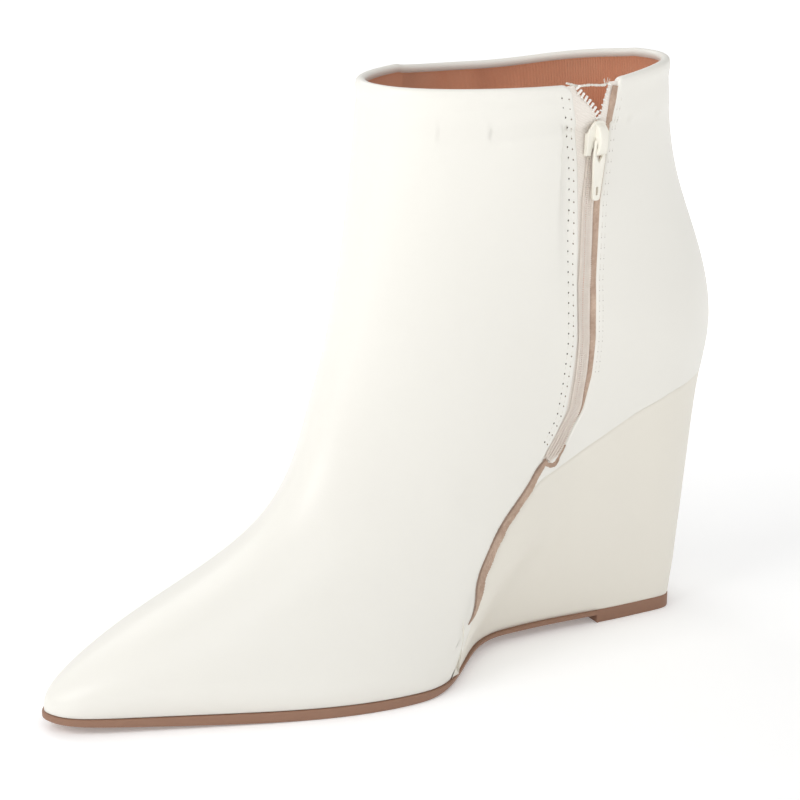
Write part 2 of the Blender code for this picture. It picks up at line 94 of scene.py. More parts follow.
class Spline:
    # natural cubic spline through the rows of a table
    def __init__(self, rows):
        rows = np.asarray(rows, float)
        self.x, self.y = rows[:, 0], rows[:, 1:]
        self.h = np.diff(self.x)
        n = len(self.x)
        a = np.eye(n)
        b = np.zeros((n, self.y.shape[1]))
        for i in range(1, n - 1):
            a[i, i - 1:i + 2] = self.h[i - 1], 2 * (self.h[i - 1] + self.h[i]), self.h[i]
            b[i] = 6 * ((self.y[i + 1] - self.y[i]) / self.h[i] - (self.y[i] - self.y[i - 1]) / self.h[i - 1])
        self.m = np.linalg.solve(a, b)

    def __call__(self, x):
        x = np.clip(np.asarray(x, float), self.x[0], self.x[-1])
        i = np.clip(np.searchsorted(self.x, x, side="right") - 1, 0, len(self.h) - 1)
        h = self.h[i][..., None]
        p = (self.x[i + 1] - x)[..., None] / h
        q = 1 - p
        bend = ((p ** 3 - p) * self.m[i] + (q ** 3 - q) * self.m[i + 1]) * h * h / 6
        return p * self.y[i] + q * self.y[i + 1] + bend


def scaledRows(name, *units):
    return np.array(lastForm[name], float) * units


def smoothRows(rows, steps, widths):
    # a table read at even steps, its corners rounded off by running means
    at = np.linspace(rows[0, 0], rows[-1, 0], steps)
    columns = [np.interp(at, rows[:, 0], column) for column in rows.T[1:]]
    for width in widths:
        window = np.hanning(2 * width + 1)[1:-1]
        window /= window.sum()
        padded = [np.pad(column, width - 1, mode="reflect", reflect_type="odd") for column in columns]
        columns = [np.convolve(column, window, "valid") for column in padded]
    return np.column_stack([at, *columns])


def fromTable(x, rows):
    return np.interp(x, *np.array(rows).T)


height, tip, ballWidth = lastForm["height"], lastForm["tip"], lastForm["ballWidth"]
profileAt = Spline(scaledRows("profile", height, tip, tip))
widthAt = Spline(scaledRows("widths", height, *[ballWidth] * 5))
stationAt = Spline(scaledRows("stations", height, 1, 1, 1))
roundAt = Spline(scaledRows("round", height, 1, 1, 1, 1, ballWidth))
edgeRows = scaledRows("edge", tip, height)
seatRows = scaledRows("seat", tip, height)
slotRows = smoothRows(scaledRows("slot", height, tip, tip, tip),
                      lastForm["slotSteps"], lastForm["slotSmooth"])
thicknessAt = Spline(scaledRows("thickness", tip, lastForm["soleThick"]))


def ease(t):
    t = np.clip(t, 0, 1)
    return t * t * t * (t * (6 * t - 15) + 10)


def soleThickness(x):
    return thicknessAt(x)[..., 0]


def underside(x):
    f = lastForm
    x = np.asarray(x, float)
    start = f["liftThick"] - f["thickness"][0][1] * f["soleThick"]
    rise = start + (f["waistRise"] - start) * ease((x - f["breast"]) / f["waistLength"])
    arch = rise * (1 - ease((x - f["breast"] - f["waistLength"]) / f["ballSlope"]))
    spring = f["toeSpring"] * np.clip((x - f["ball"]) / (tip - f["ball"]), 0, 1.1) ** 2
    return np.where(x < f["breast"], start, arch) + spring


def liftAt(x, level):
    return (underside(x) + soleThickness(x)) * (1 - np.asarray(level, float) / height) ** 3


def halfOutline(s, level, side):
    heel, waistM, waistL, ballM, ballL = np.moveaxis(widthAt(level), -1, 0)
    sHeel, sBallM, sBallL = np.moveaxis(stationAt(level), -1, 0)
    tailPower, tailRoot, noseRoot, pull, yFront = np.moveaxis(roundAt(level), -1, 0)
    medial = side > 0
    waist, ball = np.where(medial, waistM, waistL), np.where(medial, ballM, ballL)
    sBall = np.where(medial, sBallM, sBallL)
    mid = (sHeel + sBall) / 2
    w = np.where(s < mid, heel + (waist - heel) * ease((s - sHeel) / (mid - sHeel)),
                 waist + (ball - waist) * ease((s - mid) / (sBall - mid)))
    nose = np.clip((s - sBall) / (1 - sBall), 0, 1)
    reach = nose * lastForm["noseReach"]
    tail = np.clip((sHeel - s) / sHeel, 0, 1)
    w = w * ((1 - reach ** 2) ** noseRoot - pull * reach ** 2 * (1 - reach))
    w = w * (1 - nose ** lastForm["noseCap"]) ** .5 * (1 - tail ** tailPower) ** tailRoot
    return yFront * np.clip(s, 0, 1) ** 1.2 + side * w


def onSkin(x, level, side=1.0):
    # the point of the outer skin at x, on the slice of this level
    level = np.asarray(level, float) + 0 * np.asarray(x, float)
    x = np.asarray(x, float) + 0 * level
    back, front = np.moveaxis(profileAt(level), -1, 0)
    s = np.clip((x - back) / (front - back), 0, 1)
    side = np.asarray(side, float) + 0 * x
    return np.stack([back + (front - back) * s, halfOutline(s, level, side), level + liftAt(x, level)], -1)


def skinNormal(x, level, side=1.0):
    dx = onSkin(np.asarray(x) + .5, level, side) - onSkin(np.asarray(x) - .5, level, side)
    dz = onSkin(x, np.asarray(level) + .5, side) - onSkin(x, np.asarray(level) - .5, side)
    n = np.cross(dz, dx)
    n /= np.linalg.norm(n, axis=-1, keepdims=True)
    return n * np.sign(n[..., 1] * side)[..., None]


def collarLevel(x):
    share = ease(.82 - np.asarray(x, float) / (tip / 4))
    return height - lastForm["collarDrop"] + (lastForm["collarDrop"] - lastForm["backDrop"]) * share


rimSag = {"rear": -9.0, "front": 74.0, "depth": 2.0}


def rimLevel(x, side=1.0):
    # the rim as it rolls inwards, lower on the outer side
    t = np.clip((np.asarray(x, float) - rimSag["rear"]) / (rimSag["front"] - rimSag["rear"]), 0, 1)
    return collarLevel(x) - rimSag["depth"] * (4 * t * (1 - t)) ** .6 * (np.asarray(side) < 0)


def edgeLevel(x):
    return np.maximum(np.interp(x, edgeRows[:, 0], edgeRows[:, 1]), lastForm["gap"])


def seatLevel(x):
    return np.interp(x, seatRows[:, 0], seatRows[:, 1])


slotShape = {"end": 66.9, "endRound": 1.3}


def slotEdges(level, grow=0.0):
    # front and rear x of the zip's slot, which closes in a round end
    level = np.asarray(level, float)
    front, rear = (np.interp(level, slotRows[:, 0], slotRows[:, c]) for c in (1, 2))
    end = slotShape["end"] - grow
    t = np.clip((level - end) / (slotShape["endRound"] + grow), 0, 1)
    half = np.maximum(((front - rear) / 2 + grow) * np.sqrt(1 - (1 - t) ** 2), .05)
    centre = (front + rear) / 2
    return centre + half, centre - half


def coilX(level):
    return np.interp(level, slotRows[:, 0], slotRows[:, 3])


def roundIn(d, r):
    # how far an edge of radius r has turned in at the distance d from it
    d = np.clip(d, 0, r)
    return r - np.sqrt(np.maximum(r * r - (r - d) ** 2, 0))


# Node graphs: one class wraps a socket, and arithmetic on it adds Math nodes

class Wire:
    def __init__(self, graph, socket):
        self.graph, self.socket = graph, socket

    def out(self, name):
        return Wire(self.graph, self.socket.node.outputs[name])

    def math(self, operation, *others):
        return self.graph.add("ShaderNodeMath", {"operation": operation}, [self, *others])

    def __add__(self, other):
        return self.math("ADD", other)

    def __sub__(self, other):
        return self.math("SUBTRACT", other)

    def __mul__(self, other):
        return self.math("MULTIPLY", other)

    def __pow__(self, other):
        return self.math("POWER", other)

    def __rsub__(self, other):
        return self.graph.add("ShaderNodeMath", {"operation": "SUBTRACT"}, [other, self])

    __radd__ = __add__
    __rmul__ = __mul__


class Graph:
    def __init__(self, tree):
        self.tree = tree

    def link(self, value, socket):
        if isinstance(value, Wire):
            self.tree.links.new(value.socket, socket)
        elif isinstance(value, tuple) and socket.type == "RGBA":
            socket.default_value = (*value, 1)
        else:
            socket.default_value = value

    def add(self, kind, settings=None, values=()):
        node = self.tree.nodes.new(kind)
        for name, value in (settings or {}).items():
            setattr(node, name, value)
        pairs = values.items() if isinstance(values, dict) else enumerate(values)
        for name, value in pairs:
            if value is not None:
                self.link(value, node.inputs[name])
        shown = [s for s in node.outputs if s.enabled]
        return Wire(self, shown[0]) if shown else None

    def mix(self, share, first, second, mode="MIX"):
        node = self.tree.nodes.new("ShaderNodeMix")
        node.data_type, node.blend_type = "RGBA", mode
        self.link(share, node.inputs[0])
        self.link(first, node.inputs[6])
        self.link(second, node.inputs[7])
        return Wire(self, node.outputs[2])


class Look(Graph):
    # a material around one Principled shader
    def __init__(self, name, **fixed):
        self.material = bpy.data.materials.new(name)
        self.material.use_nodes = True
        super().__init__(self.material.node_tree)
        self.shader = self.tree.nodes["Principled BSDF"]
        for key, value in fixed.items():
            self.set(key, value)

    def set(self, key, value):
        self.link(value, self.shader.inputs[key.replace("_", " ")])

    def place(self):
        return self.add("ShaderNodeTexCoord").out("Object")

    def noise(self, vector, scale, detail=2.0, rough=.5):
        return self.add("ShaderNodeTexNoise", {}, {"Vector": vector, "Scale": scale, "Detail": detail,
                                                   "Roughness": rough})

    def cells(self, vector, scale):
        return self.add("ShaderNodeTexVoronoi", {}, {"Vector": vector, "Scale": scale})

    def scaled(self, vector, factors):
        return self.add("ShaderNodeVectorMath", {"operation": "MULTIPLY"}, [vector, factors])

    def relief(self, heightWire, distance, strength=1.0):
        return self.add("ShaderNodeBump", {}, {"Height": heightWire, "Distance": distance,
                                               "Strength": strength})


# Mesh helpers: all points in millimetres

def meshPiece(name, verts, faces, look, smooth=40, recalc=True, uv=None):
    mesh = bpy.data.meshes.new(name)
    mesh.from_pydata((np.asarray(verts) * mm).tolist(), [], faces)
    if uv is not None:
        layer = mesh.uv_layers.new(name="surface")
        corner = np.empty(len(mesh.loops), np.int32)
        mesh.loops.foreach_get("vertex_index", corner)
        layer.data.foreach_set("uv", np.asarray(uv, np.float32)[corner].ravel())
    work = bmesh.new()
    work.from_mesh(mesh)
    bmesh.ops.remove_doubles(work, verts=work.verts, dist=2e-7)
    bmesh.ops.dissolve_degenerate(work, edges=work.edges, dist=1e-7)
    if recalc:
        bmesh.ops.recalc_face_normals(work, faces=work.faces)
        if work.calc_volume(signed=True) < 0:
            bmesh.ops.reverse_faces(work, faces=work.faces)
    work.to_mesh(mesh)
    work.free()
    mesh.shade_smooth()
    mesh.set_sharp_from_angle(angle=math.radians(smooth))
    if look is not None:
        mesh.materials.append(look.material)
    obj = bpy.data.objects.new(name, mesh)
    scene.collection.objects.link(obj)
    return obj


def dress(obj, slot, *nodes, body="boot"):
    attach(obj, body)
    if nodes:
        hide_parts(*nodes)
    return obj


def loftFaces(rings, count):
    faces = []
    for i in range(rings - 1):
        for j in range(count):
            k = (j + 1) % count
            faces.append((i * count + j, i * count + k, (i + 1) * count + k, (i + 1) * count + j))
    return faces


def tubeFaces(rings, count):
    # a loft whose first and last rings are closed by one face each
    last = (rings - 1) * count
    return loftFaces(rings, count) + [tuple(range(count))[::-1], tuple(range(last, last + count))]


def joined(parts):
    # several (verts, faces) as one
    verts, faces, base = [], [], 0
    for more, moreFaces in parts:
        verts.append(more)
        faces += [tuple(base + i for i in face) for face in moreFaces]
        base += len(more)
    return np.concatenate(verts), faces


def circle(steps, tall=.5):
    return [(math.cos(a) / 2, math.sin(a) * tall) for a in np.linspace(0, 2 * math.pi, steps, endpoint=False)]


def cappedLoft(loops):
    # rings whose two halves mirror each other, closed by strips at both ends
    count = len(loops[0])
    faces = loftFaces(len(loops), count)
    for base, flip in ((0, True), ((len(loops) - 1) * count, False)):
        for j in range(count // 2 - 1):
            quad = (base + j, base + j + 1, base + count - 2 - j, base + count - 1 - j)
            faces.append(quad[::-1] if flip else quad)
    return np.concatenate(loops), faces


def sweep(path, outs, section, wide=1.0, tall=1.0):
    # a closed section (across, out) carried along a path; wide and tall may change along it
    path, outs = np.asarray(path, float), np.asarray(outs, float)
    run = np.gradient(path, axis=0)
    run /= np.linalg.norm(run, axis=1, keepdims=True)
    outs = outs - (outs * run).sum(1, keepdims=True) * run
    outs /= np.linalg.norm(outs, axis=1, keepdims=True)
    across = np.cross(run, outs)
    wide = np.broadcast_to(wide, (len(path),))[:, None, None]
    tall = np.broadcast_to(tall, (len(path),))[:, None, None]
    sec = np.asarray(section, float)[None]
    loops = path[:, None] + across[:, None] * sec[..., :1] * wide + outs[:, None] * sec[..., 1:] * tall
    return loops.reshape(-1, 3), tubeFaces(len(path), len(section))


# Floor, light and camera

studio = {
    "azimuth": 27.9, "elevation": 17.6, "roll": .45, "distance": 740.0, "lens": 100.8,
    "target": (86.4, 1.9, 86.7), "lampTarget": (70, 0, 70), "world": .58,
    "floorColour": (.9, .9, .9), "floorHalf": 6000, "floorDrop": .05, "glowCentre": (90, 0, 0),
    # the sweep glows a little more the further it lies from the boot: glow near, glow far, from, to (mm)
    "floorGlow": (.20, .55, 150, 600),
    # name, where from (mm), size (mm), power in watts
    "lamps": [("toeLamp", (860, 160, 560), 500, 3.0), ("frontLamp", (250, 640, 980), 500, 1.7),
              ("rearLamp", (-620, 430, 420), 500, .45), ("farLamp", (250, -700, 700), 500, 1.6)],
}


def makeStudio(s):
    a, e, r = (math.radians(s[k]) for k in ("azimuth", "elevation", "roll"))
    back = Vector((math.sin(a) * math.cos(e), math.cos(a) * math.cos(e), math.sin(e)))
    right = Vector((-math.cos(a), math.sin(a), 0))
    up = back.cross(right)
    right, up = right * math.cos(r) + up * math.sin(r), up * math.cos(r) - right * math.sin(r)
    data = bpy.data.cameras.new("photoCamera")
    data.sensor_width, data.lens = 36.0, s["lens"]
    data.clip_start, data.clip_end = .02, 30
    camera = bpy.data.objects.new("photoCamera", data)
    scene.collection.objects.link(camera)
    turn = Matrix((right, up, back)).transposed().to_4x4()
    turn.translation = (Vector(s["target"]) + back * s["distance"]) * mm
    camera.matrix_world = turn
    scene.camera = camera

    world = bpy.data.worlds.new("studioWorld")
    world.use_nodes = True
    shade = world.node_tree.nodes["Background"]
    shade.inputs["Color"].default_value = (1, 1, 1, 1)
    shade.inputs["Strength"].default_value = s["world"]
    scene.world = world
    for name, place, size, power in s["lamps"]:
        lamp = bpy.data.lights.new(name, "AREA")
        lamp.shape, lamp.size, lamp.energy = "SQUARE", size * mm, power
        holder = bpy.data.objects.new(name, lamp)
        scene.collection.objects.link(holder)
        holder.location = Vector(place) * mm
        aim = Vector(s["lampTarget"]) - Vector(place)
        holder.rotation_euler = aim.to_track_quat("-Z", "Y").to_euler()

    look = Look("paleFloor", Base_Color=s["floorColour"], Roughness=.9)
    look.set("Specular IOR Level", .1)
    near, far, start, stop = s["floorGlow"]
    centre = tuple(c * mm for c in s["glowCentre"])
    offset = look.add("ShaderNodeVectorMath", {"operation": "SUBTRACT"}, [look.place(), centre])
    away = look.add("ShaderNodeVectorMath", {"operation": "LENGTH"}, [offset]).out("Value")
    share = look.add("ShaderNodeMapRange", {"interpolation_type": "SMOOTHSTEP"},
                     {"Value": away, "From Min": start * mm, "From Max": stop * mm,
                      "To Min": near, "To Max": far})
    look.set("Emission Color", look.mix(share, (0, 0, 0), (1, 1, 1)))
    look.set("Emission Strength", 1.0)
    wide = s["floorHalf"]
    verts = [(x * wide, y * wide, -s["floorDrop"]) for x, y in ((-1, -1), (1, -1), (1, 1), (-1, 1))]
    floor = meshPiece("studioFloor", verts, [(0, 1, 2, 3)], look, recalc=False)


print("boot: studio")
makeStudio(studio)


# Finishes

def leatherLook(name, colour, warm, rough, grain=1.0):
    look = Look(name)
    place = look.place()
    cloud = look.noise(place, 22, 3)
    fine = look.noise(place, 2600, 3, .6)
    pores = look.cells(place, 1500)
    tone = look.mix(cloud, colour, warm)
    look.set("Base Color", look.mix(look.noise(place, 320, 4) * .35, tone, tuple(c * .975 for c in colour)))
    look.set("Roughness", rough + (look.noise(place, 60, 3) - .5) * .10 + fine * .05)
    skinRelief = look.relief(pores * .6 + fine * .5, .00003 * grain, .5)
    look.set("Normal", skinRelief)
    look.set("Specular IOR Level", .5)
    look.set("Coat Weight", .08)
    look.set("Coat Roughness", .25)
    return look


def ribKnitLook(name, colour, dark, pitch=.72):
    # fine vertical ribs from the piece's own UV, in millimetres
    look = Look(name)
    uv = look.add("ShaderNodeUVMap", {"uv_map": "surface"})
    parts = look.add("ShaderNodeSeparateXYZ", {}, [uv])
    place = look.place()
    wander = (look.noise(place, 90, 2) - .5) * .5
    u, v = parts.out("X") + wander, parts.out("Y")
    rib = (u * (2 * math.pi / pitch)).math("SINE") * .5 + .5
    stitch = (v * (2 * math.pi / .55)).math("SINE") * .5 + .5
    fuzz = look.noise(place, 1900, 4, .65)
    cloud = (look.noise(place, 30, 3) - .42) * 3
    cloud = cloud.math("MAXIMUM", 0).math("MINIMUM", .75)
    ground = look.mix(rib ** .7, dark, colour)
    worn = look.mix(cloud, ground, tuple(c * share for c, share in zip(colour, (.80, .62, .55))))
    look.set("Base Color", look.mix(fuzz * .35, worn, tuple(min(1, c * 1.18) for c in colour)))
    look.set("Roughness", .86 + fuzz * .1)
    look.set("Sheen Weight", .08)
    look.set("Normal", look.relief(rib * .7 + rib * stitch * .4 + fuzz * .5, .00022, .8))
    return look


def moulded(name, colour, rough, speck=.06, relief=.00002):
    look = Look(name)
    place = look.place()
    fine = look.noise(place, 1400, 4, .6)
    cloud = look.noise(place, 35, 3)
    tone = look.mix(cloud * .6, colour, tuple(c * .86 for c in colour))
    look.set("Base Color", look.mix(fine * speck * 4, tone, tuple(min(1, c * 1.25) for c in colour)))
    look.set("Roughness", rough + (cloud - .5) * .16 + fine * .06)
    look.set("Normal", look.relief(fine, relief, .6))
    return look


def fibreLook(name, colour, dark, stretch=(1, 1, 1), scale=900, depth=.00008):
    look = Look(name)
    place = look.scaled(look.place(), stretch)
    fine = look.noise(place, scale, 5, .7)
    lump = look.noise(place, scale / 6, 3)
    look.set("Base Color", look.mix((fine * .65 + lump * .6) ** 1.6, dark, colour))
    look.set("Roughness", .9)
    look.set("Normal", look.relief(fine + lump, depth, .9))
    return look


def tapeLook(name, colour, dark):
    look = Look(name)
    place = look.place()
    parts = look.add("ShaderNodeSeparateXYZ", {}, [place])
    warp = ((parts.out("X") + parts.out("Z") * .5) * (2 * math.pi / .0006)).math("SINE") * .5 + .5
    weft = ((parts.out("Z") - parts.out("X") * .5) * (2 * math.pi / .0008)).math("SINE") * .5 + .5
    fuzz = look.noise(place, 2200, 4)
    look.set("Base Color", look.mix((warp * weft) * .6 + fuzz * .3, dark, colour))
    look.set("Roughness", .85)
    look.set("Normal", look.relief(warp * weft + fuzz * .4, .00008, .8))
    return look


ivory = leatherLook("ivoryLeather", (.825, .805, .745), (.835, .82, .765), .40)
ivoryCover = leatherLook("ivoryWedgeCover", (.795, .76, .675), (.81, .775, .695), .44, .8)
soleBrown = moulded("satinSoleBrown", (.29, .155, .098), .48)
liftBrown = moulded("topLiftBrown", (.285, .15, .095), .55)
knit = ribKnitLook("salmonKnit", (.84, .43, .27), (.60, .27, .16))
sockLook = ribKnitLook("salmonSock", (.60, .33, .22), (.46, .23, .14), .9)
rawLook = fibreLook("rawBacking", (.72, .55, .44), (.30, .19, .13), scale=900)
# painted shadow: the dark strand's colour stands for the shade between the vamp's edge and the raw strip
rawPaintedShade = fibreLook("rawEdgePaintedShade", (.42, .30, .23), (.16, .11, .08), scale=900)
tape = tapeLook("zipTape", (.95, .92, .86), (.84, .77, .70))
coilLook = fibreLook("ribbonYarn", (.93, .88, .81), (.78, .68, .60), scale=2400, depth=.00002)
toothLook = moulded("toothNylon", (.90, .88, .83), .38)
enamel = moulded("creamEnamel", (.90, .87, .775), .26, .004, .000003)
threadLook = fibreLook("ivoryThread", (.84, .82, .76), (.62, .58, .50), scale=2600, depth=.00003)
# painted shade: the needle holes are dark patches standing for the shade inside each hole, near black on the
# outer row, lighter and warmer on the inner row, faint on the rear rows
holeShadeLook = moulded("needleHole", (.075, .055, .042), .95)
warmHoleShadeLook = moulded("needleHoleWarm", (.22, .16, .12), .95)
faintHoleShadeLook = moulded("needleHoleFaint", (.42, .38, .34), .95)


# Shell grids

def spread(steps, ends=.2):
    t = np.linspace(0, 1, steps + 1)
    c = 1 / (1 - ends)
    low, high = c * t ** 2 / (2 * ends), 1 - c * (1 - t) ** 2 / (2 * ends)
    return np.where(t < ends, low, np.where(t > 1 - ends, high, c * (t - ends / 2)))


def gather(steps, power):
    # shares from 0 to 1 that crowd at 0 for an edge, and at 1 for a round end
    t = np.linspace(0, 1, steps + 1)
    return 1 - (1 - t ** power) ** 2


def settle(fn, start):
    # the x that a slowly repeated step comes to rest at
    x = start
    for _ in range(90):
        x = .75 * x + .25 * float(fn(x))
    return x


shellShape = {
    "rowPower": 1.55, "columnPower": 1.6, "cornerPower": 14, "flatFoot": 7.6,
    # above this level the columns this near to the slot take the skin's own direction, then fade
    "ownFrom": 110, "ownNear": 8, "ownFade": 8,
}


def shellGrid(s):
    # rings of the skin from the lower edge up to the collar, with columns that follow the slot
    h = shellShape
    noseShare, heelShare = (gather(s[k], h["columnPower"]) for k in ("noseColumns", "heelColumns"))
    noseShare = noseShare[::-1]
    lateralShare = spread(s["lateralColumns"])[1:-1]
    shares = np.linspace(0, 1, s["rows"] + 1) ** h["rowPower"] * (1 - s["topShare"])
    shares = np.concatenate([shares, 1 - s["topShare"] * np.linspace(1, 0, s["topRows"] + 1)[1:]])
    topFront, topRear = slotEdges(collarLevel(40) - 1, s["grow"])
    grid, levels, xs = [], [], []
    for share in shares:
        def levelOf(x, medial):
            low, top = edgeLevel(x), rimLevel(x, 1.0 if medial else -1.0) - s["topDrop"]
            if medial:
                corner = np.where(x > (topFront + topRear) / 2, roundIn(x - topFront, s["frontCorner"]),
                                  roundIn(topRear - x, s["rearCorner"]))
                top = top - corner * share ** h["cornerPower"]
            return low + (top - low) * share

        back = settle(lambda v: profileAt(levelOf(v, False))[0], -20.0)
        front = settle(lambda v: profileAt(levelOf(v, False))[1], 100.0)
        slotFront = settle(lambda v: slotEdges(levelOf(v, True), s["grow"])[0], 42.0)
        slotRear = settle(lambda v: slotEdges(levelOf(v, True), s["grow"])[1], 28.0)
        medial = np.concatenate([slotFront + (front - slotFront) * noseShare,
                                 np.linspace(slotFront, slotRear, s["slotColumns"] + 1)[1:-1],
                                 slotRear + (back - slotRear) * heelShare])
        lateral = back + (front - back) * lateralShare
        x = np.concatenate([medial, lateral])
        level = np.concatenate([levelOf(medial, True), levelOf(lateral, False)])
        side = np.concatenate([np.ones(len(medial)), -np.ones(len(lateral))])
        grid.append(onSkin(x, level, side))
        levels.append(level)
        xs.append(x)
    grid, levels, xs = np.array(grid), np.array(levels), np.array(xs)
    around = np.roll(grid, -1, 1) - np.roll(grid, 1, 1)
    up = np.empty_like(grid)
    up[1:-1], up[0], up[-1] = grid[2:] - grid[:-2], grid[1] - grid[0], grid[-1] - grid[-2]
    normal = np.cross(up, around)
    normal /= np.linalg.norm(normal, axis=-1, keepdims=True)
    outward = grid - grid.mean(axis=1, keepdims=True)
    normal *= np.sign((normal * outward).sum(-1).mean(-1))[:, None, None]
    above = levels - edgeLevel(xs)
    normal[..., 2] *= np.clip(above / h["flatFoot"], 0, 1)
    normal /= np.linalg.norm(normal, axis=-1, keepdims=True)
    up /= np.linalg.norm(up, axis=-1, keepdims=True)
    side = np.ones(grid.shape[1])
    side[len(medial):] = -1
    slotFront, slotRear = slotEdges(levels, s["grow"])
    away = np.maximum(np.maximum(xs - slotFront, slotRear - xs), 0)
    below = np.maximum(slotShape["end"] - s["grow"] - levels, 0)
    toSlot = np.where(side > 0, np.hypot(away, below), 99)
    # by the slot the rows bend, so the skin's own direction is used
    for i in np.flatnonzero(levels.max(axis=1) > h["ownFrom"]):
        close = np.flatnonzero(toSlot[i] < h["ownNear"] + h["ownFade"])
        own = skinNormal(xs[i, close], levels[i, close])
        share = (1 - ease((toSlot[i, close] - h["ownNear"]) / h["ownFade"]))[:, None]
        normal[i, close] = normal[i, close] * (1 - share) + own * share
    normal /= np.linalg.norm(normal, axis=-1, keepdims=True)
    return {"points": grid, "normal": normal, "up": up, "level": levels, "x": xs, "side": side,
            "above": above, "toSlot": toSlot, "under": rimLevel(xs, side) - s["topDrop"] - levels,
            "slotStart": s["noseColumns"], "slotStop": s["noseColumns"] + s["slotColumns"],
            "slotRow": int(np.searchsorted(levels[:, s["noseColumns"]], slotShape["end"] - s["grow"]))}


def tubeShell(g, outer, rim, inner):
    # closed wall between two grids, joined by the rim's rings above and open at the slot
    rows, count = outer.shape[:2]
    loops = np.concatenate([outer, rim, inner[::-1]])
    total = len(loops)
    faces = []
    start, stop, first = g["slotStart"], g["slotStop"], g["slotRow"]

    def rowOf(i):
        return i if i < rows else (rows - 1 if i < rows + len(rim) else total - 1 - i)

    for i in range(total):
        k = (i + 1) % total
        inside = i < total - 1 and max(rowOf(i), rowOf(k)) > first
        for j in range(count):
            if inside and start <= j < stop:
                continue
            m = (j + 1) % count
            faces.append((i * count + j, i * count + m, k * count + m, k * count + j))
    for j in (start, stop):
        for i in range(first, rows - 1):
            faces.append(tuple(row * count + j for row in (i, i + 1, total - 2 - i, total - 1 - i)))
        faces.append(tuple(i * count + j for i in range(rows - 1, rows + len(rim) + 1)))
    for j in range(start, stop):
        outside, within = first * count + j, (total - 1 - first) * count + j
        faces.append((outside, outside + 1, within + 1, within))
    return loops.reshape(-1, 3), faces


def surfaceUv(points):
    # arc lengths across and up a grid of rings, in millimetres
    step = np.linalg.norm(np.roll(points, -1, 1) - points, axis=-1)
    u = np.concatenate([np.zeros((len(points), 1)), np.cumsum(step[:, :-1], 1)], 1)
    v = np.zeros(points.shape[:2])
    v[1:] = np.cumsum(np.linalg.norm(points[1:] - points[:-1], axis=-1), 0)
    middle = u[len(u) // 2]
    return np.stack([np.broadcast_to(middle, u.shape), v], -1)


# The leather upper

upperShape = {
    "rows": 92, "topRows": 10, "topShare": .035, "noseColumns": 92, "slotColumns": 8, "heelColumns": 40,
    "lateralColumns": 110, "topDrop": .7, "grow": 0.0, "frontCorner": 3.2, "rearCorner": 1.6,
    "roll": 2.75, "rollTall": 1.3, "leather": 1.15, "turnIn": 3.0, "slotRound": 1.1, "footRound": .22,
    "lapRound": .8,
    # x where the lap's round begins and ends, each with the length of its change
    "lapSpan": (44, 6, 72, 8),
    # the rim's bead and the groove under it: height, distance below the rim, width
    "bead": (.42, 2.0, 2.1), "groove": (.14, 6.8, 1.8),
    # slow waves: height, lengths along x and the level twice, phase, fade above the edge
    "wave": (.12, 9, 31, 19, 1.3, 15),
    # soft dents: x, level, side, half length along x, half height, depth
    "dents": [(74, 168, 1, 10, 26, .35), (50, 150, 1, 9, 22, -.25), (96, 62, 1, 20, 9, .35),
              (112, 48, -1, 22, 8, .35), (88, 78, -1, 14, 8, .3), (10, 150, 1, 12, 30, .25),
              (0, 120, -1, 16, 18, .3), (60, 120, -1, 12, 22, .25), (128, 30, 1, 22, 6, .22)],
}


def leatherRise(x, level, side):
    # how far the leather stands out from the plain form: rim bead, slow waves and soft dents
    under = rimLevel(x, side) - level
    above = level - edgeLevel(x)
    bead, groove = (tall * np.exp(-((under - place) / wide) ** 2)
                    for tall, place, wide in (upperShape["bead"], upperShape["groove"]))
    tall, alongX, across, slow, phase, fade = upperShape["wave"]
    wave = tall * np.sin(x / alongX + level / across) * np.sin(level / slow + phase)
    rise = bead - groove + wave * np.clip(above / fade, 0, 1)
    for x0, level0, side0, longHalf, highHalf, depth in upperShape["dents"]:
        d = ((x - x0) / longHalf) ** 2 + ((level - level0) / highHalf) ** 2
        rise = rise - depth * np.exp(-d) * (side == side0)
    return rise


def seamShare(x):
    # how open the seam between vamp and wedge still is: it closes where the raw edge ends
    return 1 - .8 * ease((x - 78) / 4)


def makeUpper(s):
    g = shellGrid(s)
    points, normal = g["points"], g["normal"]
    start, opening, stop, closing = s["lapSpan"]
    lapped = ease((g["x"] - start) / opening) * (1 - ease((g["x"] - stop) / closing))
    foot = s["footRound"] * seamShare(g["x"]) + (s["lapRound"] - s["footRound"]) * lapped
    turn = roundIn(g["toSlot"], s["slotRound"]) + roundIn(g["above"], foot) * (g["above"] < foot)
    out = leatherRise(g["x"], g["level"], g["side"]) - turn
    outer = points + normal * out[..., None]
    depth = s["leather"] + (s["roll"] - s["leather"]) * ease(1 - g["under"] / s["turnIn"]) ** .5
    depth = np.maximum(depth, turn + .3)
    inner = points - normal * depth[..., None]
    middle = (outer[-1] + inner[-1]) / 2
    half = ((out + depth)[-1] / 2)[:, None]
    rim = np.array([middle + half * math.cos(a) * normal[-1] + s["rollTall"] * math.sin(a) * g["up"][-1]
                    for a in np.linspace(0, math.pi, 11)[1:-1]])
    verts, faces = tubeShell(g, outer, rim, inner)
    return meshPiece("upperLeather", verts, faces, ivory, smooth=50)


print("boot: upper")
upper = makeUpper(upperShape)
dress(upper, "upper", "upper")


# The knit lining

liningShape = {
    "rows": 54, "topRows": 3, "topShare": .012, "noseColumns": 50, "slotColumns": 6, "heelColumns": 24,
    "lateralColumns": 64, "topDrop": 1.5, "grow": 3.4, "frontCorner": .2, "rearCorner": .2,
    "outer": 1.3, "inner": 1.85, "proud": .35, "lip": 1.2,
    # upright folds: height, lengths along x and the level, fade below the rim; then slow level ones
    "folds": (.22, 4.3, 60, 14), "swell": (.25, 23),
}


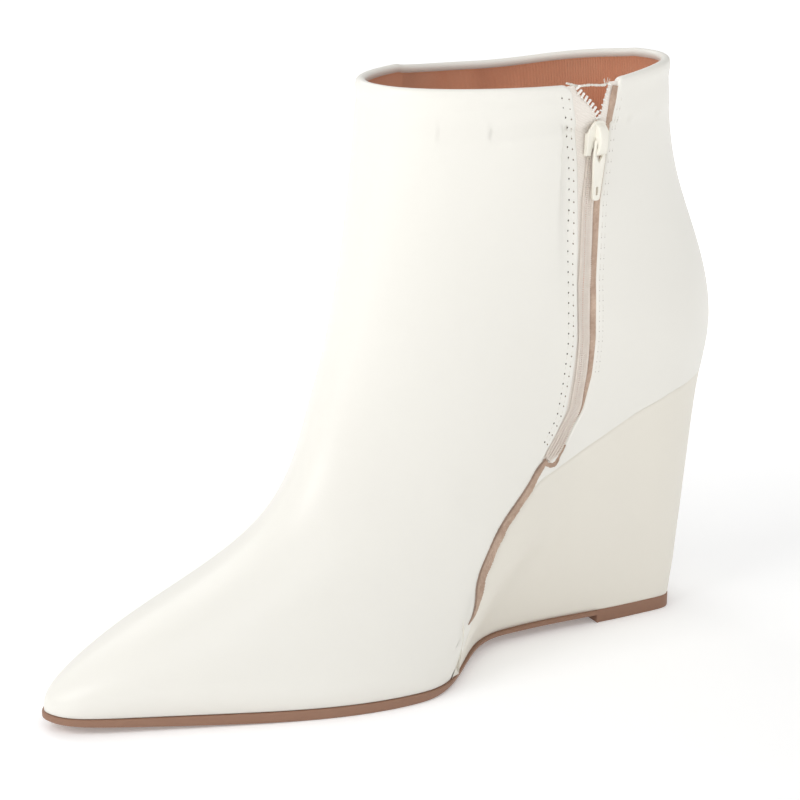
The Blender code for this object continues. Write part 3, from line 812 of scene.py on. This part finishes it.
def makeLining(s):
    g = shellGrid(s)
    points, normal = g["points"], g["normal"]
    tall, alongX, across, fade = s["folds"]
    fold = tall * np.sin(g["x"] / alongX + g["level"] / across) * ease(g["under"] / fade)
    fold = fold + s["swell"][0] * np.sin(g["level"] / s["swell"][1])
    lip = s["proud"] * np.exp(-(g["under"] / s["lip"]) ** 2)
    outer = points - normal * s["outer"]
    inner = points - normal * (s["inner"] + (fold + lip) * (g["above"] > 4))[..., None]
    half = (s["inner"] - s["outer"]) / 2
    middle = (outer[-1] + inner[-1]) / 2
    rim = np.array([middle + half * math.cos(a) * normal[-1] + half * math.sin(a) * g["up"][-1]
                    for a in (math.pi / 3, 2 * math.pi / 3)])
    verts, faces = tubeShell(g, outer, rim, inner)
    uv = surfaceUv(inner)
    allUv = np.concatenate([uv, np.broadcast_to(uv[-1], (len(rim),) + uv[-1].shape), uv[::-1]])
    return meshPiece("knitLining", verts, faces, knit, uv=allUv.reshape(-1, 2))


print("boot: lining")
lining = makeLining(liningShape)
dress(lining, "insole")


# Foot bed

sockShape = {
    "front": 206.0, "back": -22.5, "steps": 90,
    # rings of its side: height, how far in
    "side": [(0, .3), (.3, 0), (1.2, 0), (1.6, .25), (1.8, .8)],
}


def planRing(xs, levelOf, inset=0.0):
    # medial side, then lateral side back again, moved inwards by inset
    xs = np.asarray(xs, float)
    level = levelOf(xs)
    ring = np.concatenate([onSkin(xs, level, 1.0), onSkin(xs[::-1], level[::-1], -1.0)])
    around = np.roll(ring, -1, 0) - np.roll(ring, 1, 0)
    n = np.stack([around[:, 1], -around[:, 0]], -1)
    n /= np.linalg.norm(n, axis=-1, keepdims=True)
    if ((ring[:, :2] - ring[:, :2].mean(0)) * n).sum() < 0:
        n = -n
    ring = ring.copy()
    ring[:, :2] -= n * np.broadcast_to(inset, (len(ring),))[:, None]
    return ring


def makeSock(s):
    f = lastForm
    xs = s["front"] + (s["back"] - s["front"]) * spread(s["steps"], .12)
    loops = []
    for rise, inset in s["side"]:
        ring = planRing(xs, lambda x: seatLevel(x) + 1.4, f["wall"] + 3 * f["gap"] + inset)
        level = seatLevel(ring[:, 0])
        ring[:, 2] = level + liftAt(ring[:, 0], level) + f["gap"] + rise
        loops.append(ring)
    verts, faces = cappedLoft(loops)
    return meshPiece("sockPad", verts, faces, sockLook, uv=np.asarray(verts)[:, [1, 0]])


sock = makeSock(sockShape)
dress(sock, "insole", "insole")


# The covered wedge

wedgeShape = {
    "front": 87.7, "columns": 150, "rows": 46, "round": .2, "rebate": 2.2, "seam": .16,
    # x, how far the cover lies under the leather's own face
    "lap": [(10, .12), (45, .5), (70, .5), (82, .05)],
}


def heelStations(front, levelOf, steps, power=1.7):
    back = settle(lambda v: profileAt(levelOf(v))[0], -20.0)
    t = np.linspace(0, 1, steps + 1)
    return front + (back + .02 - front) * (1 - (1 - t) ** power)


def makeWedge(s):
    f = lastForm
    loops = []

    def topOf(x):
        return np.maximum(edgeLevel(x) - s["seam"] * seamShare(x), f["gap"])

    t = np.linspace(0, 1, s["rows"] + 1)
    shares = .5 - .5 * np.cos(math.pi * t)
    shares = .55 * shares + .45 * t
    for share in shares:
        xs = heelStations(s["front"], lambda x: topOf(x) * share, s["columns"])
        both = np.concatenate([xs, xs[::-1]])
        level = topOf(both) * share
        turn = roundIn(level, s["round"]) + roundIn(topOf(both) - level, s["round"])
        inset = fromTable(both, s["lap"]) + turn * seamShare(both)
        loops.append(planRing(xs, lambda x: topOf(x) * share, inset))
    for share in (0, .5, 1):
        def levelOf(x):
            return topOf(x) + (np.maximum(seatLevel(x) - .1, topOf(x) + f["gap"]) - topOf(x)) * share

        xs = heelStations(s["front"] - .3, levelOf, s["columns"])
        loops.append(planRing(xs, levelOf, s["rebate"]))
    verts, faces = cappedLoft(loops)
    return meshPiece("wedgeCover", verts, faces, ivoryCover)


print("boot: wedge and sole")
wedge = makeWedge(wedgeShape)
dress(wedge, "wedge_heel", "wedge_heel")


# Sole and top lift

soleShape = {
    "margin": .7, "steps": 150,
    # rings of the sole's side: share of the thickness up, how far in
    "side": [(1, .3), (.95, .07), (.86, 0), (.3, 0), (.18, .07), (.1, .18), (.03, .33), (0, .5)],
    # rings of the lift's side: height, how far in
    "liftSide": [(0, .25), (.1, .075), (.25, 0), (4.5, 0), (4.7, .06), (4.8, .25)], "liftSteps": 70,
}


def makeSole(s):
    f = lastForm
    start = f["breast"] + f["gap"]
    xs = start + (tip - start) * (1 - spread(s["steps"], .12))
    xs = np.where(xs > start + .01, xs, start + .01)
    loops = []
    for up, inset in s["side"]:
        ring = planRing(xs, lambda x: 0 * x, -s["margin"] + inset)
        ring[:, 0] = np.maximum(ring[:, 0], start)
        ring[:, 2] = underside(ring[:, 0]) + up * soleThickness(ring[:, 0])
        loops.append(ring)
    return meshPiece("outsole", *cappedLoft(loops[::-1]), soleBrown)


def makeLift(s):
    loops = []
    for up, inset in s["liftSide"]:
        xs = heelStations(lastForm["breast"] - inset, lambda x: 0 * x, s["liftSteps"])
        ring = planRing(xs, lambda x: 0 * x, inset)
        ring[:, 2] = up
        loops.append(ring)
    return meshPiece("topLift", *cappedLoft(loops), liftBrown)


sole = makeSole(soleShape)
dress(sole, "outsole", "outsole")
lift = makeLift(soleShape)
dress(lift, "top_lift", "top_lift")


# Raw edge of the vamp over the wedge

rawShape = {
    "path": [(47.6, 67.6), (50.5, 65.0), (53.6, 61.2), (60.2, 54.5), (67.7, 46.9), (72.9, 39.7),
             (76.4, 34.3), (78.4, 28.3), (80.5, 22.3), (83.0, 19.6)],
    "wide": [(0, 1.0), (.08, 1.7), (.3, 1.85), (.6, 2.05), (.8, 2.1), (.93, 1.2), (1, .15)],
    "curl": [(39.6, 71.5), (40.9, 69.6), (42.6, 67.6), (43.6, 66.2), (44.8, 65.6), (46.3, 65.8),
             (48.2, 66.7)],
    "curlWide": [(0, .15), (.3, .5), (.55, 1.1), (.8, 1.2), (1, .8)], "fray": .05,
    # a folded cloth edge: soft ridges with grooves between them
    "section": [(-.75, -.9), (-.75, .02), (-.62, .2), (-.5, .22), (-.4, .04), (-.28, .2), (-.15, .24),
                (-.05, .05), (.08, .2), (.22, .22), (.34, .03), (.46, .16), (.58, .02), (.62, -.3),
                (.62, -.9)],
    # painted shadow: a dark strand on the vamp's side of the raw edge, where the vamp's edge shades the
    # strip; width, height, shift across as a share of the strip's width
    "fold": (.52, .34, -.66), "shadeSteps": 160, "shadeWidest": 1.2,
}


def skinPath(rows, steps, depth=0.0, onLeather=False):
    # a smooth path on the medial skin through rows of x and level
    rows = np.asarray(rows, float)
    t = np.concatenate([[0], np.cumsum(np.linalg.norm(np.diff(rows, axis=0), axis=1))])
    x, level = Spline(np.column_stack([t, rows]))(np.linspace(0, t[-1], steps)).T
    outs = skinNormal(x, level)
    rise = leatherRise(x, level, 1.0) if onLeather else 0 * x
    return onSkin(x, level) + outs * (rise - depth)[:, None], outs


def sideways(path, outs):
    # unit vectors across a path on the skin, towards the toe
    run = np.gradient(path, axis=0)
    across = np.cross(run / np.linalg.norm(run, axis=1, keepdims=True), outs)
    return across * np.sign(across[:, :1])


def makeRawEdge(s):
    draw = np.random.default_rng(4)
    strips = []
    for rows, widths, steps, depth in ((s["path"], s["wide"], 260, 0.0),
                                       (s["curl"], s["curlWide"], 90, -.05)):
        path, outs = skinPath(rows, steps, depth=depth)
        t = np.linspace(0, 1, steps)
        uneven = 1 + .08 * np.sin(t * 41) + s["fray"] * draw.normal(size=steps)
        tall = .85 + .12 * np.sin(t * 33) + s["fray"] * 2 * draw.normal(size=steps)
        strips.append(sweep(path, outs, s["section"], fromTable(t, widths) * uneven, tall))
    made = meshPiece("rawVampEdge", *joined(strips), rawLook, smooth=60, recalc=False)
    # a dark strand of painted shadow along the vamp's side of the raw edge
    size, tall, shift = s["fold"]
    steps = s["shadeSteps"]
    path, outs = skinPath(s["path"], steps)
    wide = fromTable(np.linspace(0, 1, steps), s["wide"])
    path = path - sideways(path, outs) * (shift * wide)[:, None] + outs * .1
    size = size * np.minimum(wide, s["shadeWidest"]) * (1 + .1 * draw.normal(size=steps))
    fold = meshPiece("rawEdgeFold", *sweep(path, outs, circle(8, .7), size, tall), rawPaintedShade)
    return made, fold


for raw in makeRawEdge(rawShape):
    dress(raw, "insole")


# Zip

zipShape = {
    # the slider's and the tapes' distance below the collar, and the open part's start above the slider
    "drop": 21.0, "tapeDrop": 5.0, "openAbove": 6.5,
    "pitch": 1.7, "tapeDepth": .85, "tapeThick": .4, "tapeUnder": 2.6, "tapeLift": 1.15, "rearTooth": .62,
    "toothLong": 2.0, "toothWide": .95, "toothTall": .9, "toothLean": 6,
    # columns of the closed ribbon: distance from its middle, lean of the loops
    "ribs": [(-1.7, .5), (-.85, -.5), (.0, .5), (.85, -.5), (1.7, .5)],
    "loopLong": .95, "loopWide": .5, "loopPitch": .62,
    "ribbonWide": [(66.9, .6), (68.3, 1.15), (71, 1.3), (75, 1.2), (82, 1), (190, 1)],
    # share of the way up to the collar, then of the way to the slot's edges
    "openTeeth": [(0, 0, .2), (.2, .10, .27), (.48, .33, .38), (.82, .65, .5), (1, .79, .55)],
    # rings of a tooth and of a stitch: place along it, share of its thickness
    "toothSide": [(-1.0, .25), (-.93, .75), (-.75, 1.0), (-.4, .92), (.5, .85), (.92, .8), (1.0, .5)],
    "stitchSide": [(-1, .3), (-.8, .85), (-.3, 1), (.3, 1), (.8, .85), (1, .3)],
}
sliderLevel = height - zipShape["drop"]
openFrom = sliderLevel + zipShape["openAbove"]
tapeTop = height - zipShape["tapeDrop"]


def openX(level, column):
    # where the teeth of one tape run: column 1 the front, 2 the rear
    level = np.asarray(level, float)
    rows = np.array(zipShape["openTeeth"])
    share = np.interp((level - openFrom) / (tapeTop - openFrom), rows[:, 0], rows[:, column])
    share = np.where(level < openFrom, 0, share)
    edge = np.interp(level, slotRows[:, 0], slotRows[:, column])
    return coilX(level) + share * (edge - coilX(level))


def makeTape(name, column):
    s = zipShape
    sign = 1 if column == 1 else -1
    levels = np.linspace(slotShape["end"] - 1, tapeTop + 1.5, 90)
    free = openX(levels, column) + sign * .25
    edge = np.interp(levels, slotRows[:, 0], slotRows[:, column]) + sign * s["tapeUnder"]
    across = np.linspace(0, 1, 9)
    x = free[:, None] + (edge - free)[:, None] * across
    level = np.broadcast_to(levels[:, None], x.shape)
    lifted = s["tapeLift"] * ease((levels - openFrom) / 8)[:, None] * (1 - across) ** 2
    depth = s["tapeDepth"] + .5 * lifted
    outs, skin = skinNormal(x, level), onSkin(x, level)
    top, low = (skin - outs * d[..., None] for d in (depth, depth + s["tapeThick"]))
    loops = np.concatenate([top, low[:, ::-1]], 1)
    return meshPiece(name, loops.reshape(-1, 3), tubeFaces(len(loops), loops.shape[1]), tape)


def barPattern(name, rings, sides, long, wide, tall, turned=False):
    # a small bar with round ends along X, or along Y when turned
    verts = [(x * long / 2, a * wide * size, b * tall * size) for x, size in rings for a, b in circle(sides)]
    if turned:
        verts = [(y, x, z) for x, y, z in verts]
    return meshPiece(name, verts, tubeFaces(len(rings), sides), None)


def partRowTree(name, look):
    # parts set at an even spacing along a path, turned to the surface
    tree = bpy.data.node_groups.new(name, "GeometryNodeTree")
    face = tree.interface
    face.new_socket(name="Geometry", in_out="INPUT", socket_type="NodeSocketGeometry")
    for title, kind, value in (("Spacing", "NodeSocketFloat", .001), ("Part", "NodeSocketObject", None),
                               ("Size", "NodeSocketFloat", 1.0), ("Turn", "NodeSocketFloat", 0.0),
                               ("Uneven", "NodeSocketFloat", 0.0), ("Seed", "NodeSocketInt", 3)):
        made = face.new_socket(name=title, in_out="INPUT", socket_type=kind)
        if value is not None:
            made.default_value = value
    face.new_socket(name="Geometry", in_out="OUTPUT", socket_type="NodeSocketGeometry")
    graph = Graph(tree)
    source = graph.add("NodeGroupInput")
    curve = graph.add("GeometryNodeMeshToCurve", {}, [source.out("Geometry")])
    even = graph.add("GeometryNodeResampleCurve", {"mode": "LENGTH"},
                     {"Curve": curve, "Length": source.out("Spacing")})
    outward = graph.add("GeometryNodeInputNamedAttribute", {"data_type": "FLOAT_VECTOR"}, {"Name": "outward"})
    along = graph.add("GeometryNodeInputTangent")
    facing = graph.add("FunctionNodeAxesToRotation", {"primary_axis": "X", "secondary_axis": "Z"},
                       [along, outward])
    jitter = graph.add("FunctionNodeRandomValue", {"data_type": "FLOAT"},
                       {"Min": source.out("Uneven") * -1, "Max": source.out("Uneven"),
                        "Seed": source.out("Seed")})
    euler = graph.add("ShaderNodeCombineXYZ", {}, {"Z": source.out("Turn") + jitter})
    twist = graph.add("FunctionNodeEulerToRotation", {}, [euler])
    turned = graph.add("FunctionNodeRotateRotation", {"rotation_space": "LOCAL"}, [facing, twist])
    part = graph.add("GeometryNodeObjectInfo", {}, {"Object": source.out("Part")}).out("Geometry")
    size = graph.add("ShaderNodeCombineXYZ", {}, [source.out("Size")] * 3)
    placed = graph.add("GeometryNodeInstanceOnPoints", {}, {"Points": even, "Instance": part,
                                                            "Rotation": turned, "Scale": size})
    real = graph.add("GeometryNodeRealizeInstances", {}, [placed])
    dressed = graph.add("GeometryNodeSetMaterial", {}, {"Geometry": real, "Material": look.material})
    graph.add("NodeGroupOutput", {}, [dressed])
    return tree


def rowOfParts(name, tree, runs, part, **values):
    # runs: list of (path, outs) in millimetres; the part's mesh is repeated along them
    edges, base = [], 0
    for path, _ in runs:
        edges += [(i, i + 1) for i in range(base, base + len(path) - 1)]
        base += len(path)
    mesh = bpy.data.meshes.new(name)
    mesh.from_pydata((np.concatenate([path for path, _ in runs]) * mm).tolist(), edges, [])
    layer = mesh.attributes.new("outward", "FLOAT_VECTOR", "POINT")
    layer.data.foreach_set("vector", np.concatenate([outs for _, outs in runs]).astype(np.float32).ravel())
    obj = bpy.data.objects.new(name, mesh)
    scene.collection.objects.link(obj)
    step = obj.modifiers.new("row", "NODES")
    step.node_group = tree
    values["Part"] = part
    for item in tree.interface.items_tree:
        if item.in_out == "INPUT" and item.name in values:
            step[item.identifier] = values[item.name]
    result = baked(obj, 50)
    result.name = name
    if "outward" in result.attributes:
        result.attributes.remove(result.attributes["outward"])
    return obj


def baked(obj, smooth):
    # the object's modifiers made into its own plain mesh
    graph = bpy.context.evaluated_depsgraph_get()
    result = bpy.data.meshes.new_from_object(obj.evaluated_get(graph), depsgraph=graph)
    obj.modifiers.clear()
    obj.data = result
    result.shade_smooth()
    result.set_sharp_from_angle(angle=math.radians(smooth))
    return result


def zipPath(levels, xOf, across=0.0, depth=.55):
    x = xOf(levels)
    outs, path = skinNormal(x, levels), onSkin(x, levels)
    return path + sideways(path, outs) * across - outs * depth, outs


print("boot: zip")
for name, column, node in (("tapeFront", 1, "zip_tape_front"), ("tapeRear", 2, "zip_tape_rear")):
    dress(makeTape(name, column), "zip_tape", node)
tooth = barPattern("toothPattern", zipShape["toothSide"], 8,
                   *(zipShape[k] for k in ("toothLong", "toothWide", "toothTall")), turned=True)
loop = barPattern("loopPattern", zipShape["toothSide"], 8,
                  *(zipShape[k] for k in ("loopLong", "loopWide", "loopWide")), turned=True)
coilTree = partRowTree("coilRow", coilLook)
toothTree = partRowTree("toothRow", toothLook)


def makeCoil():
    s = zipShape
    levels = np.linspace(slotShape["end"] + .8, sliderLevel, 160)
    wide = fromTable(levels, s["ribbonWide"])[:, None]
    for number, (across, lean) in enumerate(s["ribs"]):
        runs = [zipPath(levels, coilX, across * wide, .3)]
        yield rowOfParts(f"ribbonRib{number}", coilTree, runs, loop, Spacing=s["loopPitch"] * mm, Turn=lean,
                         Uneven=.12)


def makeOpenTeeth(name, column):
    s = zipShape
    sign = 1 if column == 1 else -1
    levels = np.linspace(openFrom - 2.5, tapeTop + 1, 160)
    lean = math.radians(s["toothLean"])
    runs = [zipPath(levels, lambda level: openX(level, column) - sign * .35, 0, .75)]
    turn, size = (lean, 1.0) if column == 1 else (math.pi - lean, s["rearTooth"])
    return rowOfParts(name, toothTree, runs, tooth, Spacing=s["pitch"] * mm, Uneven=.12, Turn=turn, Size=size)


for coil in makeCoil():
    dress(coil, "zip_teeth", "zip_chain")
for name, column, node in (("teethFront", 1, "zip_teeth_front"), ("teethRear", 2, "zip_teeth_rear")):
    dress(makeOpenTeeth(name, column), "zip_teeth", node)


# Raw backing beside the zip

backingShape = {
    "wide": [(66.9, .2), (78, .25), (84, .35), (91, 1.3), (105, 1.8), (130, 2.0), (160, 2.1), (192, 2.1)],
    "depth": .75, "thick": .6, "under": .35,
    "section": [(.9, -.5), (.9, .35), (.5, .5), (-.1, .42), (-.5, .25), (-.62, -.1), (-.5, -.5)],
}


def makeBacking(s):
    levels = np.linspace(slotShape["end"] + 1.5, collarLevel(26) - 1.8, 130)
    t = np.linspace(0, 1, len(levels))
    wide = fromTable(levels, s["wide"]) * (1 + .06 * np.sin(t * 40))
    x = slotEdges(levels)[1] + wide * s["under"]
    outs = skinNormal(x, levels)
    path = onSkin(x, levels) - outs * s["depth"]
    return meshPiece("rawZipEdge", *sweep(path, outs, s["section"], wide, s["thick"]), rawLook, smooth=60)


backing = makeBacking(backingShape)
dress(backing, "insole")


# Loose thread across the open top

threadShape = {
    "front": (45.4, 193.2), "rear": (29.6, 191.4), "sag": 1.0, "out": 1.2, "thick": .8, "steps": 60,
    # the frayed end by the rear tape: how far each hair reaches along x, up and out
    "hairs": [(-1.4, 1.9, .3), (-.4, 2.3, .6), (.9, 1.8, .2), (.3, 2.0, -.3), (-1.0, 1.1, .8)],
    "hairThick": .16,
}


def makeThread(s):
    (x0, level0), (x1, level1) = s["front"], s["rear"]
    t = np.linspace(0, 1, s["steps"])
    x, level = x0 + (x1 - x0) * t, level0 + (level1 - level0) * t
    inside = np.sin(math.pi * t)
    level = level - s["sag"] * inside * (.75 + .35 * np.sin(t * 7)) + .35
    outs = skinNormal(x, level)
    path = onSkin(x, level) - outs * (s["out"] + .8 * inside)[:, None]
    thick = s["thick"] * (1 + .12 * np.random.default_rng(8).normal(size=s["steps"]))
    parts = [sweep(path, outs, circle(8), thick, thick)]
    for dx, dz, dy in s["hairs"]:
        end = path[-1] + np.array((dx, dy, dz))
        bend = (path[-1] + end) / 2 + np.array((dx * .3, .2, -.2))
        u = np.linspace(0, 1, 8)[:, None]
        hair = (1 - u) ** 2 * path[-1] + 2 * u * (1 - u) * bend + u * u * end
        parts.append(sweep(hair, np.tile(outs[-1], (8, 1)), circle(8), s["hairThick"], s["hairThick"]))
    return meshPiece("looseThread", *joined(parts), threadLook, recalc=False)


strand = makeThread(threadShape)
dress(strand, "zip_tape")


# Slider and pull

sliderShape = {
    "wide": 8.4, "long": 11.0, "barOut": 2.85, "barDown": .2, "plateLow": .75, "plateHigh": 1.75,
    "cornerRound": .9, "edgeRound": .28, "wingDeep": (-.1, 1.6), "wingWide": 1.3, "shoulder": 3.4,
    "pullLong": 20.0, "pullWide": 4.5, "pullThick": 1.0, "pullTaper": .95, "pullShoulder": .3,
    "pullRound": .22,
    "crownWide": 2.9, "crownRound": .55,
    # side view of the crown: up, out
    "crown": [(5.0, 1.4), (4.9, 2.7), (3.9, 3.9), (2.2, 4.7), (0, 4.95), (-2.4, 4.7), (-4.0, 4.0),
              (-5.0, 2.9), (-5.2, 2.2), (-4.4, 1.9), (-3.6, 2.6), (-2.4, 3.3), (-1.2, 3.4), (-.6, 3.0),
              (-.4, 1.9), (.5, 1.9), (.9, 1.4)],
}


def sliderFrame():
    x = float(coilX(sliderLevel))
    here = onSkin(x, sliderLevel)
    tangent = Vector(onSkin(x + 1, sliderLevel) - onSkin(x - 1, sliderLevel)).normalized()
    above = Vector(onSkin(x, sliderLevel + 5) - onSkin(x, sliderLevel - 5))
    out = above.cross(tangent).normalized()
    out = out if out.y > 0 else -out
    up = out.cross(tangent)
    up = up if up.z > 0 else -up
    turn = Matrix((tangent, out, up)).transposed().to_4x4()
    turn.translation = Vector(here)
    return turn


def plateMesh(outline, low, high, axes):
    verts = []
    for h in (low, high):
        for a, b in outline:
            v = [0.0, 0.0, 0.0]
            v[axes[0]], v[axes[1]], v[axes[2]] = a, b, h
            verts.append(v)
    n = len(outline)
    faces = [tuple(range(n)), tuple(range(2 * n - 1, n - 1, -1))]
    faces += [(i, (i + 1) % n, n + (i + 1) % n, n + i) for i in range(n)]
    return verts, faces


def turned(verts, place):
    return [tuple(place @ Vector(v)) for v in verts]


def finishHard(obj, bevel, cutters=(), joins=(), segments=3):
    for operation, others in (("UNION", joins), ("DIFFERENCE", cutters)):
        for other in others:
            step = obj.modifiers.new("shape", "BOOLEAN")
            step.operation, step.solver, step.object = operation, "EXACT", other
    edge = obj.modifiers.new("soften", "BEVEL")
    edge.width, edge.segments, edge.limit_method = bevel * mm, segments, "ANGLE"
    edge.angle_limit = math.radians(28)
    edge.harden_normals = False
    baked(obj, 60)
    for other in (*cutters, *joins):
        bpy.data.objects.remove(other)
    return obj


def roundedOutline(points, radius, steps=4):
    points = [Vector(p) for p in points]
    made = []
    for i, p in enumerate(points):
        a, b = points[i - 1], points[(i + 1) % len(points)]
        r = min(radius, (a - p).length * .45, (b - p).length * .45)
        p0, p1 = p + (a - p).normalized() * r, p + (b - p).normalized() * r
        for k in range(steps + 1):
            t = k / steps
            q = p0 * (1 - t) ** 2 + p * 2 * t * (1 - t) + p1 * t * t
            made.append((q.x, q.y))
    return made


def makeSlider(s, place):
    w, h = s["wide"] / 2, s["long"] / 2
    half = [(1.6, h + .4), (w, h - s["shoulder"]), (w, -h + 1.0), (w - 1.7, -h), (w - 1.9, -h + 3)]
    plate = roundedOutline(half + [(-x, z) for x, z in half[::-1]], s["cornerRound"])
    verts, faces = plateMesh(plate, s["plateLow"], s["plateHigh"], (0, 2, 1))
    body = meshPiece("sliderBody", turned(verts, place), faces, enamel)
    joins = []
    low, high = s["wingDeep"]
    for sign in (-1, 1):
        inner = w - s["wingWide"]
        wing = roundedOutline([(inner, low), (w, low), (w, high), (inner, high)], .3, 2)
        verts, faces = plateMesh([(sign * a, b) for a, b in wing], -h + .4, h - s["shoulder"] - .2,
                                 (0, 1, 2))
        joins.append(meshPiece("wing", turned(verts, place), faces, None))
    verts, faces = plateMesh(s["crown"], -s["crownWide"] / 2, s["crownWide"] / 2, (2, 1, 0))
    crown = meshPiece("crown", turned(verts, place), faces, None)
    joins.append(finishHard(crown, s["crownRound"], segments=4))
    return finishHard(body, s["edgeRound"], joins=joins)


def makePull(s, place):
    axis = place @ Matrix.Translation((0, s["barOut"], -s["barDown"]))
    p, t = s["pullWide"] / 2, s["pullThick"] / 2
    low = t - s["pullLong"]
    shoulder, end = s["pullShoulder"] * low, p - s["pullTaper"]
    half = [(p - .3, t), (p, shoulder), (end, low)]
    outline = roundedOutline([(-half[0][0], t)] + half + [(-x, z) for x, z in half[:0:-1]], s["cornerRound"])
    verts, faces = plateMesh(outline, -t, t, (0, 2, 1))
    pull = meshPiece("pullTab", turned(verts, axis), faces, enamel)
    window = roundedOutline([(-1.5, -t), (1.5, -t), (1.5, .24 * low), (.1, .37 * low),
                             (-1.3, .24 * low)], .5, 3)
    hole = roundedOutline([(-.45, .77 * low), (.45, .77 * low), (.45, .91 * low), (-.45, .91 * low)], .2, 3)
    cutters = []
    for number, shape in enumerate((window, hole)):
        verts, faces = plateMesh(shape, -3 * t, 3 * t, (0, 2, 1))
        cutters.append(meshPiece(f"cut{number}", turned(verts, axis), faces, None))
    return finishHard(pull, s["pullRound"], cutters=cutters)


slideFrame = sliderFrame()
slider = makeSlider(sliderShape, slideFrame)
dress(slider, "zip_slider", "zip_slider")
pull = makePull(sliderShape, slideFrame)
dress(pull, "zip_slider", "zip_pull", body="pull")


# Stitches

stitchShape = {
    "spacing": 3.4, "dashLong": 2.2, "dashThick": .34, "holeLong": .62, "holeWide": .46, "holeDeep": .12,
    # rows beside the slot: distance from its edge, from and to which level, slot column, upper end
    "rows": {"outer": (3.9, 74, 180, 1, [(46.4, 185.5), (47.6, 189.4)]),
             "inner": (2.1, 73, 180, 1, [(43.9, 185.0), (44.9, 188.8)]),
             "rear": (-1.3, 96, 187, 2, []), "rearSecond": (-2.6, 96, 187, 2, [])},
    "sunk": .14,
}


def rowPath(rows, steps=160, shift=0.0, depth=0.0):
    path, outs = skinPath(rows, steps, depth, True)
    if shift:
        length = np.concatenate([[0], np.cumsum(np.linalg.norm(np.diff(path, axis=0), axis=1))])
        t = np.linspace(shift, length[-1], steps)
        path, outs = (np.stack([np.interp(t, length, column) for column in a.T], 1) for a in (path, outs))
    return path, outs


def besideSlot(offset, low, high, column, end, steps=26):
    levels = np.linspace(low, high, steps)
    edge = slotEdges(levels)[column - 1]
    return list(zip(edge + offset, levels)) + end


def makeStitches(s):
    rows = {name: besideSlot(*row) for name, row in s["rows"].items()}
    spacing = s["spacing"] * mm
    runs = [rowPath(row, depth=s["sunk"], shift=s["spacing"] / 2) for row in rows.values()]
    tree = partRowTree("stitchThreadRow", threadLook)
    yield rowOfParts("stitchThread", tree, runs, dash, Spacing=spacing, Uneven=.05)
    # dark patches of painted shade over the needle holes, in three strengths by row
    for name, look, wanted, values in (
            ("stitchHoles", holeShadeLook, ("outer",), {"Uneven": .25}),
            ("stitchHolesWarm", warmHoleShadeLook, ("inner",), {"Turn": .5, "Uneven": .2, "Size": .95}),
            ("stitchHolesFaint", faintHoleShadeLook, ("rear", "rearSecond"),
             {"Turn": .4, "Uneven": .2, "Size": .55})):
        runs = [rowPath(rows[row]) for row in wanted]
        yield rowOfParts(name, partRowTree(name + "Row", look), runs, hole, Spacing=spacing, **values)


print("boot: stitches")
dash = barPattern("dashPattern", zipShape["stitchSide"], 6, stitchShape["dashLong"],
                  stitchShape["dashThick"], stitchShape["dashThick"])
hole = barPattern("holePattern", zipShape["stitchSide"], 6,
                  *(stitchShape[k] for k in ("holeLong", "holeWide", "holeDeep")))
for piece in makeStitches(stitchShape):
    dress(piece, "zip_tape")
for pattern in (tooth, loop, dash, hole):
    bpy.data.objects.remove(pattern)
